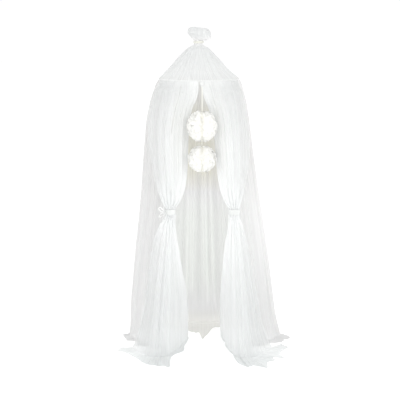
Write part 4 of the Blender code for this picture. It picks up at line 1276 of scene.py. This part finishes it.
@dataclass
class CurtainTies:
    """The two ties: the left one with a bow, the right one with its knot at the back.

    Places and routes are measured from the middle of the band, or from the bow's knot.
    """

    tulle: BobbinetTulle
    inner_half_depth: float = 0.0228
    half_height: float = 0.018
    thickness: float = 0.0032
    bow_knot: tuple[float, float, float] = (-0.0430, -0.0228, -0.0020)
    bow_knot_size: tuple[float, float, float] = (0.0098, 0.0105, 0.0125)
    back_knot: tuple[float, float, float] = (0.0120, 0.0303, 0.0)
    back_knot_size: tuple[float, float, float] = (0.0100, 0.0085, 0.0120)

    def band(self, middle: np.ndarray, half_width: float) -> Cloth:
        """The strip wound round a bundle of a half width, crumpled into four ridges."""
        return round_band(middle, (half_width + 0.001, self.inner_half_depth, self.half_height),
                          self.thickness, 4, 1.0)

    def loop(self, knot: np.ndarray, length: float, width: float, turn: float,
             seed: float) -> Cloth:
        """A loop of the bow: a teardrop in the front view, which ends where it starts.

        Along the loop it goes length * (1 - cos) / 2 out and back, and across it
        width * sin(t) * sin(t / 2).

        Args:
            knot: the middle of the bow's knot, in the frame.
            length: how far the loop reaches from the knot.
            width: how far it opens.
            turn: its lean from upright to the left, in degrees.
            seed: shifts its crumples.

        Returns:
            The loop as an open strip.
        """
        way = np.linspace(0.0, FULL_TURN, 41)
        out = 0.5 * length * (1.0 - np.cos(way))
        across = 0.5 * width * np.sin(way) * np.sin(0.5 * way)
        lean = math.radians(turn)
        route = knot + np.stack([across * math.cos(lean) - out * math.sin(lean), 0.0 * way,
                                 out * math.cos(lean) + across * math.sin(lean)], axis=-1)
        return soft_strip(route, (0.50, 0.78, 0.38), 0.0012, seed)

    def end(self, knot: np.ndarray, points: Table, seed: float) -> Cloth:
        """A free end of the tie, which hangs from the knot.

        Args:
            knot: the middle of the bow's knot, in the frame.
            points: a few places on its way down, measured from the knot.
            seed: shifts its crumples.

        Returns:
            The end as an open strip, along a smooth curve through the places.
        """
        table = np.array(points)
        steps = np.linalg.norm(np.diff(table, axis=0), axis=1)
        way = np.concatenate([[0.0], np.cumsum(steps)])
        route = knot + read_columns(list(np.column_stack([way, table])),
                                    np.linspace(0.0, way[-1], 22))
        size = math.hypot(0.25, 0.97)
        return soft_strip(route, (0.25 / size, 0.97 / size, 0.0), 0.0010, seed)

    def build(self) -> list[bpy.types.Object]:
        """Makes both ties, which stand for their solids."""
        left_middle = in_frame(LEFT_TIE_X, TIE_Y, TIE_HEIGHT)
        right_middle = in_frame(RIGHT_TIE_X, TIE_Y, TIE_HEIGHT)
        knot = left_middle + self.bow_knot
        left = [self.band(left_middle, LEFT_BUNDLE), pleated_knot(knot, self.bow_knot_size),
                self.loop(knot, 0.056, 0.026, 50.0, 0.3),
                self.loop(knot, 0.050, 0.024, 128.0, 1.9),
                self.end(knot, [(0.0, 0.0, 0.0), (-0.004, -0.002, -0.022),
                                (-0.011, -0.004, -0.042), (-0.013, -0.006, -0.062)], 0.8),
                self.end(knot, [(0.0, 0.0, 0.0), (0.005, -0.009, -0.020),
                                (0.006, -0.014, -0.038), (0.011, -0.017, -0.054)], 2.4)]
        right = [self.band(right_middle, RIGHT_BUNDLE),
                 pleated_knot(right_middle + self.back_knot, self.back_knot_size)]
        material = self.tulle.material()
        return [dressed(name, cloths, material, [node], True)
                for name, cloths, node in (("left_tie_bow", left, "left_tie"),
                                           ("right_tie_band", right, "right_tie"))]


@dataclass
class NeckTie:
    """The cream cord wound three times round the neck."""

    cord: CottonCord
    inner_radius: float = NECK_RADIUS + NECK_FOLD_DEPTH + 0.0013
    half_height: float = 0.0078
    thickness: float = 0.0034
    strands: int = 3

    def build(self) -> bpy.types.Object:
        """A band with three level strands, which stands for its solid."""
        band = round_band(in_frame(NECK_X, 0.0, NECK_HEIGHT),
                          (self.inner_radius, self.inner_radius, self.half_height),
                          self.thickness, self.strands, 0.0)
        return dressed("neck_cord", [band], self.cord.material(), ["neck_tie"],
                       True)


@dataclass
class CasingKnot:
    """The small gathered knot that fastens the pompom cord to the front of the casing."""

    tulle: BobbinetTulle

    def build(self) -> bpy.types.Object:
        """A pleated ball of net, which stands for its solid."""
        knot = pleated_knot(in_frame(STRING_X, STRING_Y, KNOT_HEIGHT), KNOT_HALF_SIZE)
        return dressed("casing_knot", [knot], self.tulle.material(),
                       ["string_knot"], True)


@dataclass
class PompomCord:
    """The twisted cord from the knot on the casing through the upper pompom to the lower."""

    cord: CottonCord
    top: float = KNOT_HEIGHT - KNOT_HALF_SIZE[2] - SEAM_GAP
    bottom: float = LOWER_POMPOM[0] + LOWER_POMPOM[2] + SEAM_GAP
    radius: float = 0.0030
    lay: float = 0.018

    def build(self) -> bpy.types.Object:
        """Two strands twisted round each other, as one tube with a lens-shaped section.

        The radius is 0.7 + 0.3 * |cos(angle - twist)| of the cord's. A strand goes once
        round in a lay, so the section repeats every 9 mm.

        Returns:
            The cord's piece, which stands for both string solids.
        """
        height = np.linspace(self.top, self.bottom, 240)[:, None]
        angle = around(16)
        twist = FULL_TURN * (self.top - height) / self.lay
        radius = self.radius * (0.7 + 0.3 * np.abs(np.cos(angle - twist)))
        points = np.stack([STRING_X + radius * np.sin(angle), STRING_Y - radius * np.cos(angle),
                           height - TOTAL_HEIGHT + 0.0 * angle], axis=-1)
        caps = [np.repeat(points[row:row + 1].mean(axis=1, keepdims=True), 16, axis=1)
                for row in (0, -1)]
        points = np.concatenate([caps[0], points, caps[1]])
        full = np.ones(points.shape[:2])
        piece = dressed("pompom_cord", [Cloth(points, full, full, 0.018, True)],
                        self.cord.material(),
                        ["pompom_string_upper", "pompom_string_lower"], True)
        return piece


@dataclass
class Pompom:
    """A ball of cut tulle petals, parted along a seam in front where the cord pulls it in."""

    name: str
    node: str
    height: float
    half_width: float
    half_height: float
    seed: int
    petals: int = 560
    petal_half_width: float = 0.17
    petal_length: float = 0.80
    root_radius: float = 0.72
    ball_radius: float = 0.90
    groove: float = 0.035
    seam_width: float = 0.07

    def directions(self, draw: np.random.Generator) -> np.ndarray:
        """Directions of the petals: a spiral over the sphere, pushed away from the seam.

        The seam runs from pole to pole in front and behind, so the sideways part of a
        direction is stretched away from zero.

        Args:
            draw: the pompom's own random numbers.

        Returns:
            Unit vectors, petals x 3.
        """
        number = np.arange(self.petals) + 0.5
        up = 1.0 - 2.0 * number / self.petals
        turn = math.pi * (1.0 + math.sqrt(5.0)) * number
        level = np.sqrt(1.0 - up * up)
        way = np.stack([level * np.cos(turn), level * np.sin(turn), up], axis=-1)
        way += draw.normal(0.0, 0.05, way.shape)
        way[:, 0] = np.sign(way[:, 0]) * np.sqrt(way[:, 0] ** 2 + self.groove ** 2)
        return way / np.linalg.norm(way, axis=1, keepdims=True)

    def surface(self) -> tuple[np.ndarray, np.ndarray]:
        """Points of all petals at once, and their tone.

        Petals overlap like scales. Each leans away from the seam: at share t of its length it has
        crept (t - 0.6) * length over the ball and has risen from the root radius by t^0.8 of the
        way to the ball's. At place w across, it is cupped by w^2 and ruffled by a sine of w that
        grows with t^2. Its tone grows with t, but for the seam: low tone paints shade deep between
        the petals and in the seam.

        Returns:
            Points, petals x rows x columns x 3, for a ball of radius 1, and the tone.
        """
        draw = np.random.default_rng(self.seed)
        way = self.directions(draw)
        beside = np.abs(way[:, 0])
        outward = np.stack([0.6 * np.sign(way[:, 0]), 0.35 * np.sign(way[:, 1]) * beside,
                            0.9 * way[:, 2] - 0.25], axis=-1)
        outward += draw.normal(0.0, 0.30, outward.shape)
        outward -= way * np.sum(outward * way, axis=1, keepdims=True)
        lean = outward / np.linalg.norm(outward, axis=1, keepdims=True)
        side = np.cross(way, lean)
        rows = np.linspace(0.0, 1.0, 9)[None, :, None]
        across = np.linspace(-1.0, 1.0, 9)[None, None, :]
        shape = (self.petals, 1, 1)
        reach = draw.uniform(0.96, 1.04, shape)
        phase = draw.uniform(0.0, FULL_TURN, shape)
        turns = draw.uniform(2.6, 5.0, shape)
        size = draw.uniform(0.75, 1.10, shape)
        cut = 0.12 * across ** 2 + 0.02 * np.sin(6.0 * across + phase)
        creep = self.petal_length * size * (rows - 0.6 - cut * rows ** 2)
        spread = self.petal_half_width * size * (0.35 + 0.65 * rows ** 0.7) * across
        ruffle = 0.018 * rows ** 2 * np.sin(turns * across + phase) - 0.04 * rows * across ** 2
        rise = self.root_radius + (1.0 - self.root_radius) * rows ** 0.8
        points = (way[:, None, None, :] + lean[:, None, None, :] * creep[..., None]
                  + side[:, None, None, :] * spread[..., None])
        points *= ((reach * rise + ruffle) / np.linalg.norm(points, axis=-1))[..., None]
        # Painted shade: the tone is low at the roots, deep between the petals, and along the seam.
        seam = np.exp(-(points[..., 0] / self.seam_width) ** 2)
        return points, rows * (1.0 - 0.8 * seam)

    def build(self, ruffle: RuffleTulle) -> bpy.types.Object:
        """Joins the petals and a dense middle into one piece, which stands for its solid.

        Args:
            ruffle: the petals' finish.

        Returns:
            The pompom's piece.
        """
        points, tone = self.surface()
        size = np.array([self.half_width, self.half_width, self.half_height])
        middle = in_frame(STRING_X, STRING_Y, self.height)
        full = np.ones(points.shape[1:3])
        cloths = [Cloth(petal * size + middle, full, shade, 0.06)
                  for petal, shade in zip(points, tone)]
        ball = oval_ball(middle, self.ball_radius * size, 0.0)
        whole = np.ones(ball.shape[:2])
        cloths.append(Cloth(ball, whole, whole, 0.3, True))
        return dressed(self.name, cloths, ruffle.material(), [self.node])


@dataclass
class Studio:
    """The camera at the photograph's angle, the floor and the soft light."""

    camera_place: tuple[float, float, float] = (0.0078, -7.1, -0.02)
    camera_pitch: float = 10.46
    focal_pixels: float = 923.0
    picture_pixels: float = 400.0
    floor_half_size: float = 60.0
    lamp_size: float = 4.0
    sky_strength: float = 1.02

    def build(self) -> None:
        """Sets up everything that isn't part of the canopy."""
        self.camera()
        self.floor()
        self.sky()
        self.lamp("key_light", (3.0, -4.8, 1.4), 100.0)
        self.lamp("fill_light", (-3.4, -4.4, 0.8), 76.0)

    def camera(self) -> None:
        """A level-standing camera that looks along +Y and slightly down."""
        data = bpy.data.cameras.new("camera")
        data.sensor_width = 36.0
        data.lens = self.focal_pixels / self.picture_pixels * data.sensor_width
        camera = bpy.data.objects.new("camera", data)
        camera.location = self.camera_place
        camera.rotation_euler = (math.radians(90.0 - self.camera_pitch), 0.0, 0.0)
        bpy.context.scene.collection.objects.link(camera)
        bpy.context.scene.camera = camera

    def floor(self) -> None:
        """A wide pale floor under the hems, which glows a little, as a lit white sweep does."""
        half = self.floor_half_size
        mesh = bpy.data.meshes.new("floor")
        mesh.from_pydata([(-half, -half, -TOTAL_HEIGHT), (half, -half, -TOTAL_HEIGHT),
                          (half, half, -TOTAL_HEIGHT), (-half, half, -TOTAL_HEIGHT)], [],
                         [(0, 1, 2, 3)])
        material, tree = new_material("studio_floor")
        shader = add_node(tree, "BsdfPrincipled", inputs={
            "Base Color": (0.97, 0.97, 0.97, 1.0), "Roughness": 0.9,
            "Emission Color": (1.0, 1.0, 1.0, 1.0), "Emission Strength": 0.2})
        add_node(tree, "OutputMaterial", inputs={"Surface": shader.outputs[0]})
        mesh.materials.append(material)
        floor = bpy.data.objects.new("floor", mesh)
        bpy.context.scene.collection.objects.link(floor)

    def sky(self) -> None:
        """Even white light from all round, and enough light paths for nets behind nets."""
        world = bpy.data.worlds.new("studio_light")
        world.use_nodes = True
        background = world.node_tree.nodes["Background"]
        background.inputs["Color"].default_value = (1.0, 1.0, 1.0, 1.0)
        background.inputs["Strength"].default_value = self.sky_strength
        scene = bpy.context.scene
        scene.world = world
        scene.view_settings.view_transform = "Standard"
        scene.cycles.transparent_max_bounces = 32
        scene.cycles.max_bounces = 10
        scene.cycles.diffuse_bounces = 6
        scene.cycles.transmission_bounces = 6

    def lamp(self, name: str, place: tuple[float, float, float], power: float) -> None:
        """A square soft light aimed at the middle of the canopy.

        Args:
            name: the lamp's name.
            place: where it hangs, in the frame.
            power: its power in watts.
        """
        data = bpy.data.lights.new(name, "AREA")
        data.energy = power
        data.size = self.lamp_size
        lamp = bpy.data.objects.new(name, data)
        lamp.location = place
        aim = np.array([0.0, 0.0, -1.0]) - place
        level = math.hypot(aim[0], aim[1])
        lamp.rotation_euler = (math.atan2(level, -aim[2]), 0.0, math.atan2(-aim[0], aim[1]))
        bpy.context.scene.collection.objects.link(lamp)


def main() -> None:
    """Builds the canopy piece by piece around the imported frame."""
    logging.basicConfig(level=logging.INFO, format="%(name)s %(message)s")
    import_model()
    Studio().build()
    roof_tulle = BobbinetTulle("roof_tulle", "#D6D9D9", "#FAF9F9", streak_strength=0.28)
    drape_tulle = BobbinetTulle("drape_tulle", "#D5D5D5", "#F3F3F3")
    curtain_tulle = BobbinetTulle("curtain_tulle", "#DADCDC", "#F3F4F4", streak_width=0.012,
                                  streak_strength=0.11)
    tie_tulle = BobbinetTulle("tie_tulle", "#E3E4E4", "#F3F4F3")
    ruffle = RuffleTulle()
    report(Roof(roof_tulle).build())
    report(BackDrape(drape_tulle, DRAPE_CREASES).build())
    report(FrontCurtain(Side.LEFT, curtain_tulle, LEFT_SECTIONS, LEFT_HEM, LEFT_CREASES,
                        0.4).build())
    report(FrontCurtain(Side.RIGHT, curtain_tulle, RIGHT_SECTIONS, RIGHT_HEM, RIGHT_CREASES,
                        1.3, 0.09).build())
    report(Hoop(MouldedRing()).build())
    for tie in CurtainTies(tie_tulle).build():
        report(tie)
    report(NeckTie(CottonCord("cream_neck_cord", "#D9D9D1", "#CFCFC6")).build())
    report(CasingKnot(tie_tulle).build())
    report(PompomCord(CottonCord()).build())
    report(Pompom("upper_pompom", "pompom_upper", *UPPER_POMPOM, 11).build(ruffle))
    report(Pompom("lower_pompom", "pompom_lower", *LOWER_POMPOM, 23).build(ruffle))


if __name__ == "__main__":
    main()
